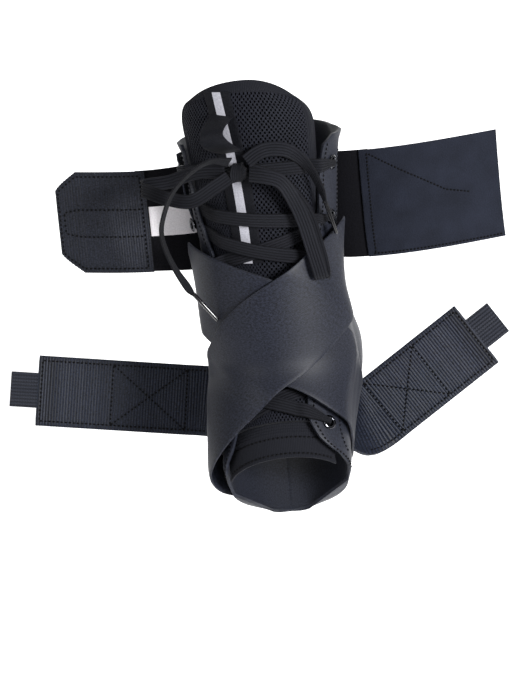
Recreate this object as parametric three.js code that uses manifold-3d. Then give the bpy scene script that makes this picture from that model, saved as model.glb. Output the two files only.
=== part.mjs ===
// A lace-up ankle brace for the left foot, laced shut as on a relaxed foot, with its cuff and its two
// figure-of-eight straps unfastened and spread to the sides.
// Millimetres and degrees. The origin is the centre of the ankle, +Z is up, the toes point along -Y
// and the outer side of the left foot is +X. The leg leans back by legLean.
import * as THREE from "three";
import Module from "manifold-3d";

const wasm = await Module();
wasm.setup();

// The ankle that the brace is shaped to
const ankleWidth = 82; // across the ankle bones
const ankleDepth = 92; // shin to heel cord
const ankleHeight = 74; // ankle centre above the sole
const instepHeight = 92; // bend of the ankle above the sole
const footReach = 122; // ankle centre to the last foot section
const legReach = 190; // ankle centre to the last leg section
const legLean = 30;

// The laced body
const skinGap = 0.3; // clearance between pieces that touch
const quarterWall = 2;
const quarterRise = 146; // top edge of the quarters, up the shin from the bend of the ankle
const quarterFall = 68; // toe edge of the quarters, along the foot from the bend
const heelOpeningRise = 24;
const heelOpeningFall = 28;
const heelOpeningReach = 50;
const tongueWall = 3.6;
const tongueHalfWidth = 45;
const tongueRise = 190;
const tongueFall = 42;
const tongueCrown = 42; // length of the tongue's round top
const toeBandEnd = 66; // toe edge of the plain band that ends the tongue
const toeBandWall = 1.6;
const toeBandHalfWidth = 40;
const ribbonWidth = 17;
const ribbonWall = 0.6;
const ribbonEnd = 68; // the ribbon's lower end, up the shin from the bend
const pullLoopTop = 168; // where the ribbon's pull loop stands off the tongue
const pullLoopFoot = 144;
const pullLoopReach = 13;

// Eyelets and lace
const eyeletsPerSide = 7;
const eyeletTop = 128; // the top eyelet, up the shin from the bend
const eyeletTopPitch = 36;
const eyeletPitch = 27;
const eyeletInset = 11; // from the quarter's front edge
const eyeletBore = 2.6;
const eyeletBarrel = 3.2;
const eyeletFlange = 4.9;
const eyeletFlangeWall = 0.5;
const eyeletSeat = 0.9; // from the curved cloth to the flat flange
const laceWidth = 9;
const laceWall = 1;
const laceBunched = 3.6; // the lace's width inside an eyelet
const knotRise = 131;
const knotWidth = 15;
const knotHeight = 14;
const knotDepth = 9;
const agletLength = 22;
const agletRadius = 1.4;

// Straps that cross on the instep
const strapWidth = 56;
const strapWall = 1.4;
const hookStrapWidth = 50;
const hookStrapWall = 2.4;
const leftHookStrapLength = 156;
const rightHookStrapLength = 118;
const pullTabWidth = 25;
const pullTabLength = 19;
const pullTabWall = 1.2;
const sidePatchWall = 1.4;
const sidePatchWidth = 32;
const sidePatchRise = 136;
const sidePatchFoot = 36;
const sidePatchMiddle = 96; // from the middle of the shin, round the leg

// Cuff
const cuffHeight = 73;
const leftCuffNarrowing = 0.06; // how much lower the cuff's left end is
const cuffWall = 1.6;
const cuffRise = 88; // middle of the cuff, up the shin from the bend
const cuffWrap = 34; // to either side of the seam at the back, where the cuff lies on the quarters
const cuffLeftReach = 107; // from there to the left end
const cuffRightReach = 127;
const hookPatchLength = 58;
const hookPatchWall = 2.2;
const hookPatchCorner = 14;
const panelLength = 90; // the doubled end of the right cuff
const panelWall = 1.4;
const endLap = 6; // how far the cuff's own cloth runs in behind its ends
const labelLength = 38;
const labelHeight = 21;
const labelWall = 0.5;

const black = 0x15161b;
const slate = 0x2b2c35;

const radians = THREE.MathUtils.degToRad;
const lean = radians(legLean);
const legUp = new THREE.Vector3(0, Math.sin(lean), Math.cos(lean));
const legFront = new THREE.Vector3(0, -Math.cos(lean), Math.sin(lean));
const sideways = new THREE.Vector3(1, 0, 0);

// Sections of the leg, from the top down. up is a share of legReach, front and back are shares of
// ankleDepth, half is a share of ankleWidth, and outer is how much wider the outer side is.
const legSections = [
  { up: 1.0, front: 0.55, back: 0.66, half: 0.61, outer: 0 },
  { up: 0.76, front: 0.52, back: 0.61, half: 0.585, outer: 0 },
  { up: 0.51, front: 0.49, back: 0.54, half: 0.54, outer: 0 },
  { up: 0.29, front: 0.475, back: 0.49, half: 0.49, outer: 0.05 },
  { up: 0.11, front: 0.485, back: 0.5, half: 0.49, outer: 0.17 },
];

// Sections of the foot, from the ankle to the toes. A section runs from the instep to the heel or the
// sole. The places along are shares of footReach, the heights above the sole are shares of
// instepHeight, half is a share of ankleWidth, outer is how much wider the outer
// side is, and flat is how square the section is at the sole.
const footSections = [
  { topAlong: 0.3, topHigh: 1.1, soleAlong: -0.475, soleHigh: 0.5, half: 0.49, flat: 2, outer: 0.31 },
  { topAlong: 0.355, topHigh: 1.0, soleAlong: -0.49, soleHigh: 0.24, half: 0.485, flat: 2, outer: 0.42 },
  { topAlong: 0.41, topHigh: 0.935, soleAlong: -0.345, soleHigh: 0.01, half: 0.5, flat: 2.1, outer: 0.36 },
  { topAlong: 0.475, topHigh: 0.88, soleAlong: -0.04, soleHigh: 0.0, half: 0.51, flat: 2.15, outer: 0.2 },
  { topAlong: 0.575, topHigh: 0.815, soleAlong: 0.29, soleHigh: 0.0, half: 0.505, flat: 2.15, outer: 0.07 },
  { topAlong: 0.705, topHigh: 0.73, soleAlong: 0.56, soleHigh: 0.0, half: 0.485, flat: 2.15, outer: 0.01 },
  { topAlong: 0.85, topHigh: 0.63, soleAlong: 0.78, soleHigh: 0.0, half: 0.455, flat: 2.15, outer: 0 },
  { topAlong: 1.0, topHigh: 0.53, soleAlong: 0.985, soleHigh: 0.0, half: 0.44, flat: 2.15, outer: 0 },
];
const bendSection = legSections.length + 1;

const legPoint = (up, out) => legUp.clone().multiplyScalar(up).addScaledVector(legFront, out);

const sections = [
  ...legSections.map((row) => {
    const front = legPoint(row.up * legReach, row.front * ankleDepth);
    const back = legPoint(row.up * legReach, -row.back * ankleDepth);
    const half = row.half * ankleWidth;
    return { topY: front.y, topZ: front.z, soleY: back.y, soleZ: back.z, half, flat: 2, outer: row.outer };
  }),
  ...footSections.map((row) => ({
    topY: -row.topAlong * footReach,
    topZ: row.topHigh * instepHeight - ankleHeight,
    soleY: -row.soleAlong * footReach,
    soleZ: row.soleHigh * instepHeight - ankleHeight,
    half: row.half * ankleWidth,
    flat: row.flat,
    outer: row.outer,
  })),
];

// A row between the rows of a table, on smooth curves through their columns.
function rowAt(rows, place) {
  const last = rows.length - 1;
  const i = Math.min(Math.max(Math.floor(place), 0), last - 1);
  const t = place - i;
  const near = [i - 1, i, i + 1, i + 2].map((n) => rows[Math.min(Math.max(n, 0), last)]);
  const row = {};
  for (const key of Object.keys(rows[0])) {
    const [a, b, c, d] = near.map((r) => r[key]);
    row[key] = b + 0.5 * t * (c - a + t * (2 * a - 5 * b + 4 * c - d + t * (3 * (b - c) + d - a)));
  }
  return row;
}

const smooth = (low, high, x) => THREE.MathUtils.smoothstep(x, low, high);

// One half of the section at a place in the table: its points from the front middle to the back
// middle, and how far each lies round it.
const sectionSteps = 60;
const knownSections = new Map();
function halfSection(place) {
  const key = Math.round(place * 2000);
  if (knownSections.has(key)) return knownSections.get(key);
  const row = rowAt(sections, key / 2000);
  const points = [];
  const girth = [0];
  for (let i = 0; i <= sectionSteps; i++) {
    const turn = (Math.PI * i) / sectionSteps;
    const power = 2 / (turn < Math.PI / 2 ? 2 : row.flat);
    const across = Math.abs(Math.sin(turn)) ** power * row.half;
    const down = 0.5 - 0.5 * Math.sign(Math.cos(turn)) * Math.abs(Math.cos(turn)) ** power;
    const y = row.topY + (row.soleY - row.topY) * down;
    const z = row.topZ + (row.soleZ - row.topZ) * down;
    points.push(new THREE.Vector3(across, y, z));
    if (i > 0) girth.push(girth[i - 1] + points[i].distanceTo(points[i - 1]));
  }
  const made = { points, girth, total: girth[sectionSteps], outer: 1 + row.outer };
  knownSections.set(key, made);
  return made;
}

// Length along the front line of the form, from the bend of the ankle up the shin, against the place
// in the table of sections.
const frontSteps = 40;
const frontLine = [];
for (let i = 0; i <= (sections.length - 1) * frontSteps; i++) {
  const point = halfSection(i / frontSteps).points[0];
  const before = frontLine[i - 1];
  const down = before ? before.down + point.distanceTo(before.point) : 0;
  frontLine.push({ place: i / frontSteps, point, down });
}
const bendDown = frontLine[bendSection * frontSteps].down;

function placeOf(along) {
  const down = bendDown - along;
  const i = frontLine.findIndex((row) => row.down >= down);
  if (i <= 0) return i < 0 ? sections.length - 1 : 0;
  const [a, b] = [frontLine[i - 1], frontLine[i]];
  return a.place + ((b.place - a.place) * (down - a.down)) / (b.down - a.down);
}

const halfGirth = (along) => halfSection(placeOf(along)).total;

// A point of the bare form: along is up the shin from the bend of the ankle, round is the distance
// round the form from its front middle, positive to the outer side.
function formPoint(along, round) {
  const { points, girth, total, outer } = halfSection(placeOf(along));
  const turns = Math.round(round / (2 * total));
  const local = round - turns * 2 * total;
  const far = Math.min(Math.abs(local), total);
  let i = 1;
  while (i < sectionSteps && girth[i] < far) i++;
  const point = points[i - 1].clone().lerp(points[i], (far - girth[i - 1]) / (girth[i] - girth[i - 1]));
  point.x *= local < 0 ? -1 : outer;
  return point;
}

const probe = 1.5; // half the distance over which slopes are measured
function slopes(along, round) {
  const up = formPoint(along + probe, round).sub(formPoint(along - probe, round)).divideScalar(2 * probe);
  const across = formPoint(along, round + probe).sub(formPoint(along, round - probe)).divideScalar(2 * probe);
  return { up, across, out: across.clone().cross(up).normalize() };
}

// A point lifted off the form by a distance.
function place(along, round, lift) {
  return formPoint(along, round).addScaledVector(slopes(along, round).out, lift);
}

// Where a walk over the form ends that starts at a spot and goes a distance, straight on from a
// direction.
const stride = 4;
function walk(spot, direction, distance) {
  const steps = Math.max(1, Math.ceil(Math.abs(distance) / stride));
  const ahead = direction.clone();
  let { along, round } = spot;
  for (let i = 0; i < steps; i++) {
    const { up, across, out } = slopes(along, round);
    ahead.addScaledVector(out, -ahead.dot(out)).normalize();
    const [a, b, c] = [up.dot(up), up.dot(across), across.dot(across)];
    const [p, q] = [up.dot(ahead), across.dot(ahead)];
    const scale = distance / steps / (a * c - b * b);
    along += (p * c - q * b) * scale;
    round += (q * a - p * b) * scale;
  }
  return { along, round };
}

// A mesh from vertices and triangles, with its faces turned outwards.
function meshFrom(vertices, triangles) {
  let volume = 0;
  for (const [a, b, c] of triangles) {
    volume += vertices[a].dot(vertices[b].clone().cross(vertices[c]));
  }
  const facing = volume < 0 ? triangles.map(([a, b, c]) => [a, c, b]) : triangles;
  const geometry = new THREE.BufferGeometry();
  const numbers = vertices.flatMap((v) => v.toArray());
  geometry.setAttribute("position", new THREE.Float32BufferAttribute(numbers, 3));
  geometry.setIndex(facing.flat());
  return geometry;
}

// A closed wall between two skins. at(i, j, side) gives the point of row i and column j on the inner
// skin (side 0) or the outer skin (side 1).
function wall(rows, columns, at) {
  const vertices = [];
  const index = (i, j, side) => (i * (columns + 1) + j) * 2 + side;
  for (let i = 0; i <= rows; i++) {
    for (let j = 0; j <= columns; j++) vertices.push(at(i, j, 0), at(i, j, 1));
  }
  const triangles = [];
  const quad = (a, b, c, d) => triangles.push([a, b, c], [a, c, d]);
  for (let i = 0; i < rows; i++) {
    for (let j = 0; j < columns; j++) {
      quad(index(i, j, 1), index(i, j + 1, 1), index(i + 1, j + 1, 1), index(i + 1, j, 1));
      quad(index(i, j, 0), index(i + 1, j, 0), index(i + 1, j + 1, 0), index(i, j + 1, 0));
    }
    quad(index(i, 0, 0), index(i, 0, 1), index(i + 1, 0, 1), index(i + 1, 0, 0));
    quad(index(i, columns, 1), index(i, columns, 0), index(i + 1, columns, 0), index(i + 1, columns, 1));
  }
  for (let j = 0; j < columns; j++) {
    quad(index(0, j, 0), index(0, j + 1, 0), index(0, j + 1, 1), index(0, j, 1));
    quad(index(rows, j, 1), index(rows, j + 1, 1), index(rows, j + 1, 0), index(rows, j, 0));
  }
  return meshFrom(vertices, triangles);
}

// A flat ribbon along stations, each with its middle point, the direction of its width, its width and
// its thickness.
function ribbon(stations) {
  const middle = (i) => stations[Math.min(Math.max(i, 0), stations.length - 1)].point;
  return wall(stations.length - 1, 1, (i, j, side) => {
    const { width, wide, thick } = stations[i];
    const ahead = middle(i + 1).clone().sub(middle(i - 1)).normalize();
    const edge = wide.clone().addScaledVector(ahead, -wide.dot(ahead)).normalize();
    const out = ahead.clone().cross(edge);
    const point = middle(i).clone().addScaledVector(edge, (j - 0.5) * width);
    return point.addScaledVector(out, (side - 0.5) * thick);
  });
}

const brace = new THREE.Group();
function add(name, geometry, color, roughness = 0.85, metalness = 0) {
  const mesh = new THREE.Mesh(geometry, new THREE.MeshStandardMaterial({ color, roughness, metalness }));
  mesh.name = name;
  brace.add(mesh);
  return mesh;
}

// The lacing gap between the quarters. along is a share of quarterRise above the bend and of
// quarterFall below it. half is half the gap and middle is where its middle lies round the form,
// both as shares of tongueHalfWidth.
const shareOf = (share) => share * (share > 0 ? quarterRise : quarterFall);
const lacingGap = [
  { along: 1.0, half: 1.22, middle: -0.1 },
  { along: 0.97, half: 1.08, middle: -0.17 },
  { along: 0.88, half: 1.0, middle: -0.2 },
  { along: 0.65, half: 0.84, middle: -0.14 },
  { along: 0.46, half: 0.64, middle: -0.12 },
  { along: 0.26, half: 0.53, middle: -0.11 },
  { along: 0.07, half: 0.49, middle: -0.12 },
  { along: -0.32, half: 0.46, middle: -0.15 },
  { along: -0.62, half: 0.48, middle: -0.16 },
  { along: -0.8, half: 0.61, middle: -0.15 },
  { along: -0.89, half: 0.83, middle: -0.13 },
  { along: -0.97, half: 1.35, middle: -0.08 },
  { along: -1.0, half: 2.1, middle: 0 },
];
// Distance round the form from its front middle to the front edge of the quarter of one side.
function gapAt(along, side) {
  const last = lacingGap.length - 1;
  const i = lacingGap.findIndex((row) => shareOf(row.along) <= along);
  let row = lacingGap[i < 0 ? last : 0];
  if (i > 0) {
    const [high, low] = [shareOf(lacingGap[i - 1].along), shareOf(lacingGap[i].along)];
    row = rowAt(lacingGap, i - 1 + (high - along) / (high - low));
  }
  return tongueHalfWidth * (row.half + side * row.middle);
}

// Lifts of the layers. Near the lacing the quarters lie over the tongue and the lace, and away from it
// they lie on the leg.
const tongueTop = skinGap + tongueWall;
const laceRoom = 1.2; // more room than skinGap round a lace, for the curve of the cloth across it
const lacedRise = tongueWall + laceWall + skinGap + laceRoom;
const tongueShift = 0.14; // how far the tongue lies to the inner side, a share of its half width
const innerFlare = 0.42; // how much wider the tongue's inner side is near its top
const lacedSlope = 24;
const lowNarrowing = 0.2; // of the tongue, below the bend
function overLacing(along, round) {
  const side = Math.sign(round);
  const flare = side < 0 ? innerFlare * smooth(0.2, 0.6, along / tongueRise) : 0;
  const down = (tongueRise - along) / (tongueRise + tongueFall);
  const narrowing = lowNarrowing * smooth(0.5, 0.85, down);
  const tongueEdge = tongueHalfWidth * (1 - side * tongueShift + flare - narrowing) + 5;
  const laced = smooth(-0.9, -0.72, along / quarterFall);
  const edge = tongueEdge + laced * Math.max(0, gapAt(along, side) + eyeletInset + eyeletFlange - tongueEdge);
  return 1 - smooth(edge, edge + lacedSlope, Math.abs(round));
}
function overEyelets(along, round) {
  const edge = Math.min(gapAt(along, Math.sign(round)), tongueHalfWidth) + eyeletInset + eyeletFlange + 2;
  return 1 - smooth(edge, edge + lacedSlope / 2, Math.abs(round));
}
const quarterUnder = (along, round) => skinGap + lacedRise * overLacing(along, round);
const quarterTop = (along, round) => quarterUnder(along, round) + quarterWall;
const crossedLace = eyeletSeat + eyeletFlangeWall + laceWall + 2 * skinGap;
function strapUnder(along, round) {
  return quarterTop(along, round) + 3 * skinGap + (crossedLace + laceRoom) * overEyelets(along, round);
}

// The quarters: each covers one side of the ankle, from the lacing round to the seam at the back and
// under the sole, with the heel left open.
const quarterRows = [
  1, 0.98, 0.93, 0.82, 0.7, 0.58, 0.46, 0.35, 0.25, 0.17, 0.155, 0.1, 0.02, -0.09, -0.2, -0.3, -0.4,
  -0.42, -0.54, -0.66, -0.76, -0.84, -0.91, -0.96, -1,
];
const quarterColumns = 12;
function heelEdge(along) {
  const reach = along > 0 ? heelOpeningRise : heelOpeningFall;
  const share = Math.min(Math.abs(along) / reach, 1);
  return heelOpeningReach * Math.sqrt(1 - share * share);
}
const seamGap = 0.25;
function quarter(side) {
  const wallOf = wall(quarterRows.length - 1, quarterColumns, (i, j, skin) => {
    const along = shareOf(quarterRows[i]);
    const front = Math.min(gapAt(along, side), halfGirth(along) - 4 * seamGap);
    const back = halfGirth(along) - Math.max(heelEdge(along), seamGap);
    const round = front + (back - front) * (j / quarterColumns);
    return place(along, side * round, quarterUnder(along, round) + skin * quarterWall);
  });
  return wallOf;
}

// Eyelets
function eyeletSpot(side, number) {
  const along = eyeletTop - (number > 0 ? eyeletTopPitch + (number - 1) * eyeletPitch : 0);
  return { along, round: side * (gapAt(along, side) + eyeletInset) };
}
function eyeletFrame({ along, round }, lift) {
  const { out, up } = slopes(along, round);
  const across = up.clone().cross(out).normalize();
  const matrix = new THREE.Matrix4().makeBasis(across, out, across.clone().cross(out));
  return matrix.setPosition(place(along, round, lift));
}
const eyeletSides = 9;
function eyelet(spot) {
  const under = quarterUnder(spot.along, spot.round);
  const flange = quarterWall + eyeletSeat;
  const profile = [
    [eyeletBore, 0],
    [eyeletBarrel, 0],
    [eyeletBarrel, flange],
    [eyeletFlange, flange],
    [eyeletFlange - eyeletFlangeWall, flange + eyeletFlangeWall],
    [eyeletBore, flange + eyeletFlangeWall],
    [eyeletBore, 0],
  ].map(([x, y]) => new THREE.Vector2(x, y));
  return new THREE.LatheGeometry(profile, eyeletSides).applyMatrix4(eyeletFrame(spot, under));
}

function solidOf(geometry) {
  const { position } = geometry.attributes;
  const triVerts = new Uint32Array(geometry.index.array);
  const mesh = new wasm.Mesh({ numProp: 3, vertProperties: position.array, triVerts });
  mesh.merge();
  return new wasm.Manifold(mesh);
}
function geometryOf(solid) {
  const { vertProperties, triVerts } = solid.getMesh();
  const geometry = new THREE.BufferGeometry();
  geometry.setAttribute("position", new THREE.BufferAttribute(vertProperties, 3));
  geometry.setIndex(new THREE.BufferAttribute(triVerts, 1));
  return geometry;
}
function closedCylinder(radius, length, sides, matrix) {
  const profile = [[0, -length / 2], [radius, -length / 2], [radius, length / 2], [0, length / 2]];
  const lathe = new THREE.LatheGeometry(profile.map(([x, y]) => new THREE.Vector2(x, y)), sides);
  lathe.deleteAttribute("normal");
  lathe.deleteAttribute("uv");
  return lathe.applyMatrix4(matrix);
}

const sides = [["left", -1], ["right", 1]];
for (const [name, side] of sides) {
  let solid = solidOf(quarter(side));
  for (let number = 0; number < eyeletsPerSide; number++) {
    const spot = eyeletSpot(side, number);
    const middle = quarterUnder(spot.along, spot.round) + quarterWall / 2;
    const across = eyeletFrame(spot, middle);
    const hole = closedCylinder(eyeletBarrel + skinGap, 3 * quarterWall, eyeletSides, across);
    solid = solid.subtract(solidOf(hole));
    add(`eyelet_${name}_${number + 1}`, eyelet(spot), 0x30333b, 0.3, 1);
  }
  add(`quarter_${name}`, geometryOf(solid), slate, 0.7);
}

// The tongue, with a round top that droops to its sides
const tongueRows = 18;
const tongueColumns = 10;
const crownNarrowing = 0.3;
const crownDroop = 0.36;
function tongueSpot(down, across, half = tongueHalfWidth) {
  const along = tongueRise + (-tongueFall - tongueRise) * down;
  const crown = Math.max(0, (along - tongueRise + tongueCrown) / tongueCrown);
  const flare = across < 0 ? 1 + innerFlare * (1 - smooth(0, 0.45, down)) : 1;
  return {
    along: along - crownDroop * tongueCrown * crown * across * across,
    round: half * across * flare * (1 - crownNarrowing * crown ** 3 - lowNarrowing * smooth(0.5, 0.85, down))
      - tongueShift * tongueHalfWidth,
  };
}
add("tongue", wall(tongueRows, tongueColumns, (i, j, skin) => {
  const { along, round } = tongueSpot((i / tongueRows) ** 1.15, (2 * j) / tongueColumns - 1);
  return place(along, round, skinGap + skin * tongueWall);
}), black, 0.95);

// The plain band that ends the tongue over the foot
const toeBandRows = 2;
add("tongue_toe_band", wall(toeBandRows, tongueColumns, (i, j, skin) => {
  const along = -tongueFall - skinGap + (tongueFall + skinGap - toeBandEnd) * (i / toeBandRows);
  const round = toeBandHalfWidth * ((2 * j) / tongueColumns - 1) - tongueShift * tongueHalfWidth;
  return place(along, round, skinGap + skin * toeBandWall);
}), 0x1d1e25, 0.9);

// The ribbon sewn down the tongue, and the pull loop that stands off it
const ribbonRoute = [
  { along: 1.0, round: -0.56 },
  { along: 0.7, round: -0.38 },
  { along: 0.5, round: -0.31 },
  { along: 0.36, round: -0.29 },
];
const ribbonRows = 8;
function ribbonSpot(down) {
  const { along, round } = rowAt(ribbonRoute, down * (ribbonRoute.length - 1));
  return { along: along * tongueRise, round: round * tongueHalfWidth };
}
const ribbonTop = 0.06;
add("tongue_ribbon", wall(ribbonRows, 4, (i, j, skin) => {
  const { along, round } = ribbonSpot(ribbonTop + (1 - ribbonTop) * (i / ribbonRows));
  return place(along, round + ribbonWidth * (j / 4 - 0.5), tongueTop + skinGap + skin * ribbonWall);
}), 0x17181d, 0.8);

// A lift of a lace over the tongue, the quarters' edges and the eyelets
const laceOverQuarter = (along, round) =>
  quarterTop(along, round) + eyeletSeat + eyeletFlangeWall + 2 * skinGap;

// The crossed laces. Each comes up out of an eyelet, crosses the tongue to the other side and goes in
// under the edge of the other quarter, towards the next eyelet up.
const passSteps = 9;
const passBend = 5; // over which a lace comes down from a quarter's edge
const passTuck = 4; // how far a lace goes in under the other quarter
const topPassDrop = 24; // the top pass runs almost straight across
function lacePass(side, number, upper) {
  const from = eyeletSpot(side, number);
  const next = eyeletSpot(-side, number - 1).along - (number > 1 ? 3 : topPassDrop);
  const tucked = { along: next, round: -side * (gapAt(next, -side) + passTuck) };
  const stations = [];
  for (let i = 0; i <= passSteps; i++) {
    const share = i / passSteps;
    const along = from.along + (tucked.along - from.along) * share;
    const round = from.round + (tucked.round - from.round) * share;
    const onQuarter = smooth(-passBend, 0, side * round - gapAt(along, side) + 2);
    const overRibbon = ribbonWall + skinGap + (upper ? laceWall + laceRoom : 0);
    const low = tongueTop + 2.5 * skinGap + laceWall / 2 + overRibbon * (1 - smooth(0.76, 0.92, share));
    const lift = low + (laceOverQuarter(along, round) + laceWall / 2 - low) * onQuarter;
    stations.push({ along, round, lift, share });
  }
  return ribbon(stations.map(({ along, round, lift, share }) => {
    const { up } = slopes(along, round);
    const width = laceBunched + (laceWidth - laceBunched) * smooth(0, 0.25, share);
    return { point: place(along, round, lift), wide: up, width, thick: laceWall };
  }));
}
for (let number = 1; number < eyeletsPerSide; number++) {
  add(`lace_pass_right_${number + 1}`, lacePass(1, number, true), black, 0.85);
  if (number > 1) add(`lace_pass_left_${number + 1}`, lacePass(-1, number, false), black, 0.85);
}

// The two straps that cross over the instep and pass under the sole. Each starts at one side of the
// shin. along is a share of ankleHeight, up the shin from the bend, and round is a share of
// ankleWidth round the form, away from the side where the strap starts. back is what the
// lower strap adds to along: it starts lower on the shin and runs nearer to the heel.
const strapRoute = [
  { along: 0.9, round: -0.74, back: -0.16 },
  { along: 0.69, round: -0.42, back: -0.08 },
  { along: 0.42, round: -0.12, back: 0 },
  { along: 0.18, round: 0.05, back: 0 },
  { along: -0.04, round: 0.2, back: 0.01 },
  { along: -0.3, round: 0.42, back: 0.07 },
  { along: -0.5, round: 0.72, back: 0.12 },
  { along: -0.56, round: 1.0, back: 0.15 },
  { along: -0.54, round: 1.3, back: 0.09 },
  { along: -0.5, round: 1.54, back: 0.07 },
  { along: -0.42, round: 1.8, back: 0.09 },
  { along: -0.36, round: 2.06, back: 0.11 },
];
const strapRows = 36;
const strapColumns = 6;
function strapPath(side) {
  const spots = [];
  for (let i = 0; i <= strapRows; i++) {
    const row = rowAt(strapRoute, (i / strapRows) * (strapRoute.length - 1));
    const along = (row.along + (side < 0 ? row.back : 0)) * ankleHeight;
    spots.push({ along, round: -side * row.round * ankleWidth });
  }
  return spots;
}
const strapMiddles = new Map([1, -1].map((side) =>
  [side, strapPath(side).map(({ along, round }) => formPoint(along, round))]));
const strapStep = strapWall + 5 * skinGap;
const strapShoulder = 18; // over which the upper strap climbs onto the lower one
function nearStrap(point, side) {
  const distance = Math.min(...strapMiddles.get(side).map((middle) => middle.distanceTo(point)));
  return 1 - smooth(strapWidth / 2 + 6, strapWidth / 2 + 6 + strapShoulder, distance);
}
// A point of a strap: row i along it, column j across it, and skin from its inner to its outer face.
const knownRows = new Map();
function strapPoint(side, upper, i, j, skin) {
  if (!knownRows.has(side)) {
    const middles = strapMiddles.get(side);
    knownRows.set(side, strapPath(side).map((spot, n) => {
      const ahead = middles[Math.min(n + 1, strapRows)].clone().sub(middles[Math.max(n - 1, 0)]).normalize();
      const wide = ahead.cross(slopes(spot.along, spot.round).out).normalize();
      return Array.from({ length: strapColumns + 1 }, (_, k) =>
        walk(spot, wide, strapWidth * (k / strapColumns - 0.5)));
    }));
  }
  const { along, round } = knownRows.get(side)[i][j];
  const climb = upper ? strapStep * nearStrap(formPoint(along, round), -side) : 0;
  return place(along, round, strapUnder(along, round) + climb + skin * strapWall);
}
const strap = (side, upper) =>
  wall(strapRows, strapColumns, (i, j, skin) => strapPoint(side, upper, i, j, skin));
add("cross_strap_under", strap(-1, false), slate, 0.65);
add("cross_strap_over", strap(1, true), slate, 0.65);

// The knot, and the two ends of the lace that run to it from the top eyelets
const knotRound = -0.3 * tongueHalfWidth;
const knotLift = tongueTop + ribbonWall + 2 * skinGap + knotDepth / 2;
const knotSlopes = slopes(knotRise, knotRound);
const knotPlace = place(knotRise, knotRound, knotLift);
{
  const ball = new THREE.SphereGeometry(0.5, 12, 8);
  ball.deleteAttribute("normal");
  ball.deleteAttribute("uv");
  const across = knotSlopes.up.clone().cross(knotSlopes.out).normalize();
  const upright = across.clone().cross(knotSlopes.out).negate();
  const frame = new THREE.Matrix4().makeBasis(across, upright, knotSlopes.out);
  ball.applyMatrix4(new THREE.Matrix4().makeScale(knotWidth, knotHeight, knotDepth));
  add("lace_knot", ball.applyMatrix4(frame).translate(...knotPlace.toArray()), black, 0.85);
}
function laceToKnot(side) {
  const from = eyeletSpot(side, 0);
  const to = knotRound + side * (knotWidth / 2 - 1.4);
  return ribbon(Array.from({ length: passSteps + 1 }, (_, i) => {
    const share = i / passSteps;
    const along = from.along + (knotRise - from.along) * share;
    const round = from.round + (to - from.round) * share;
    const low = tongueTop + ribbonWall + 2 * skinGap + laceWall / 2 + 2 * smooth(0.7, 1, share);
    const onQuarter = smooth(-passBend, 0, side * round - gapAt(along, side) + 2);
    const lift = low + (laceOverQuarter(along, round) + laceWall / 2 - low) * onQuarter;
    const width = laceBunched + (laceWidth - laceBunched) * smooth(0, 0.25, share);
    return { point: place(along, round, lift), wide: slopes(along, round).up, width, thick: laceWall };
  }));
}
add("lace_to_knot_left", laceToKnot(-1), black, 0.85);
add("lace_to_knot_right", laceToKnot(1), black, 0.85);

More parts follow.
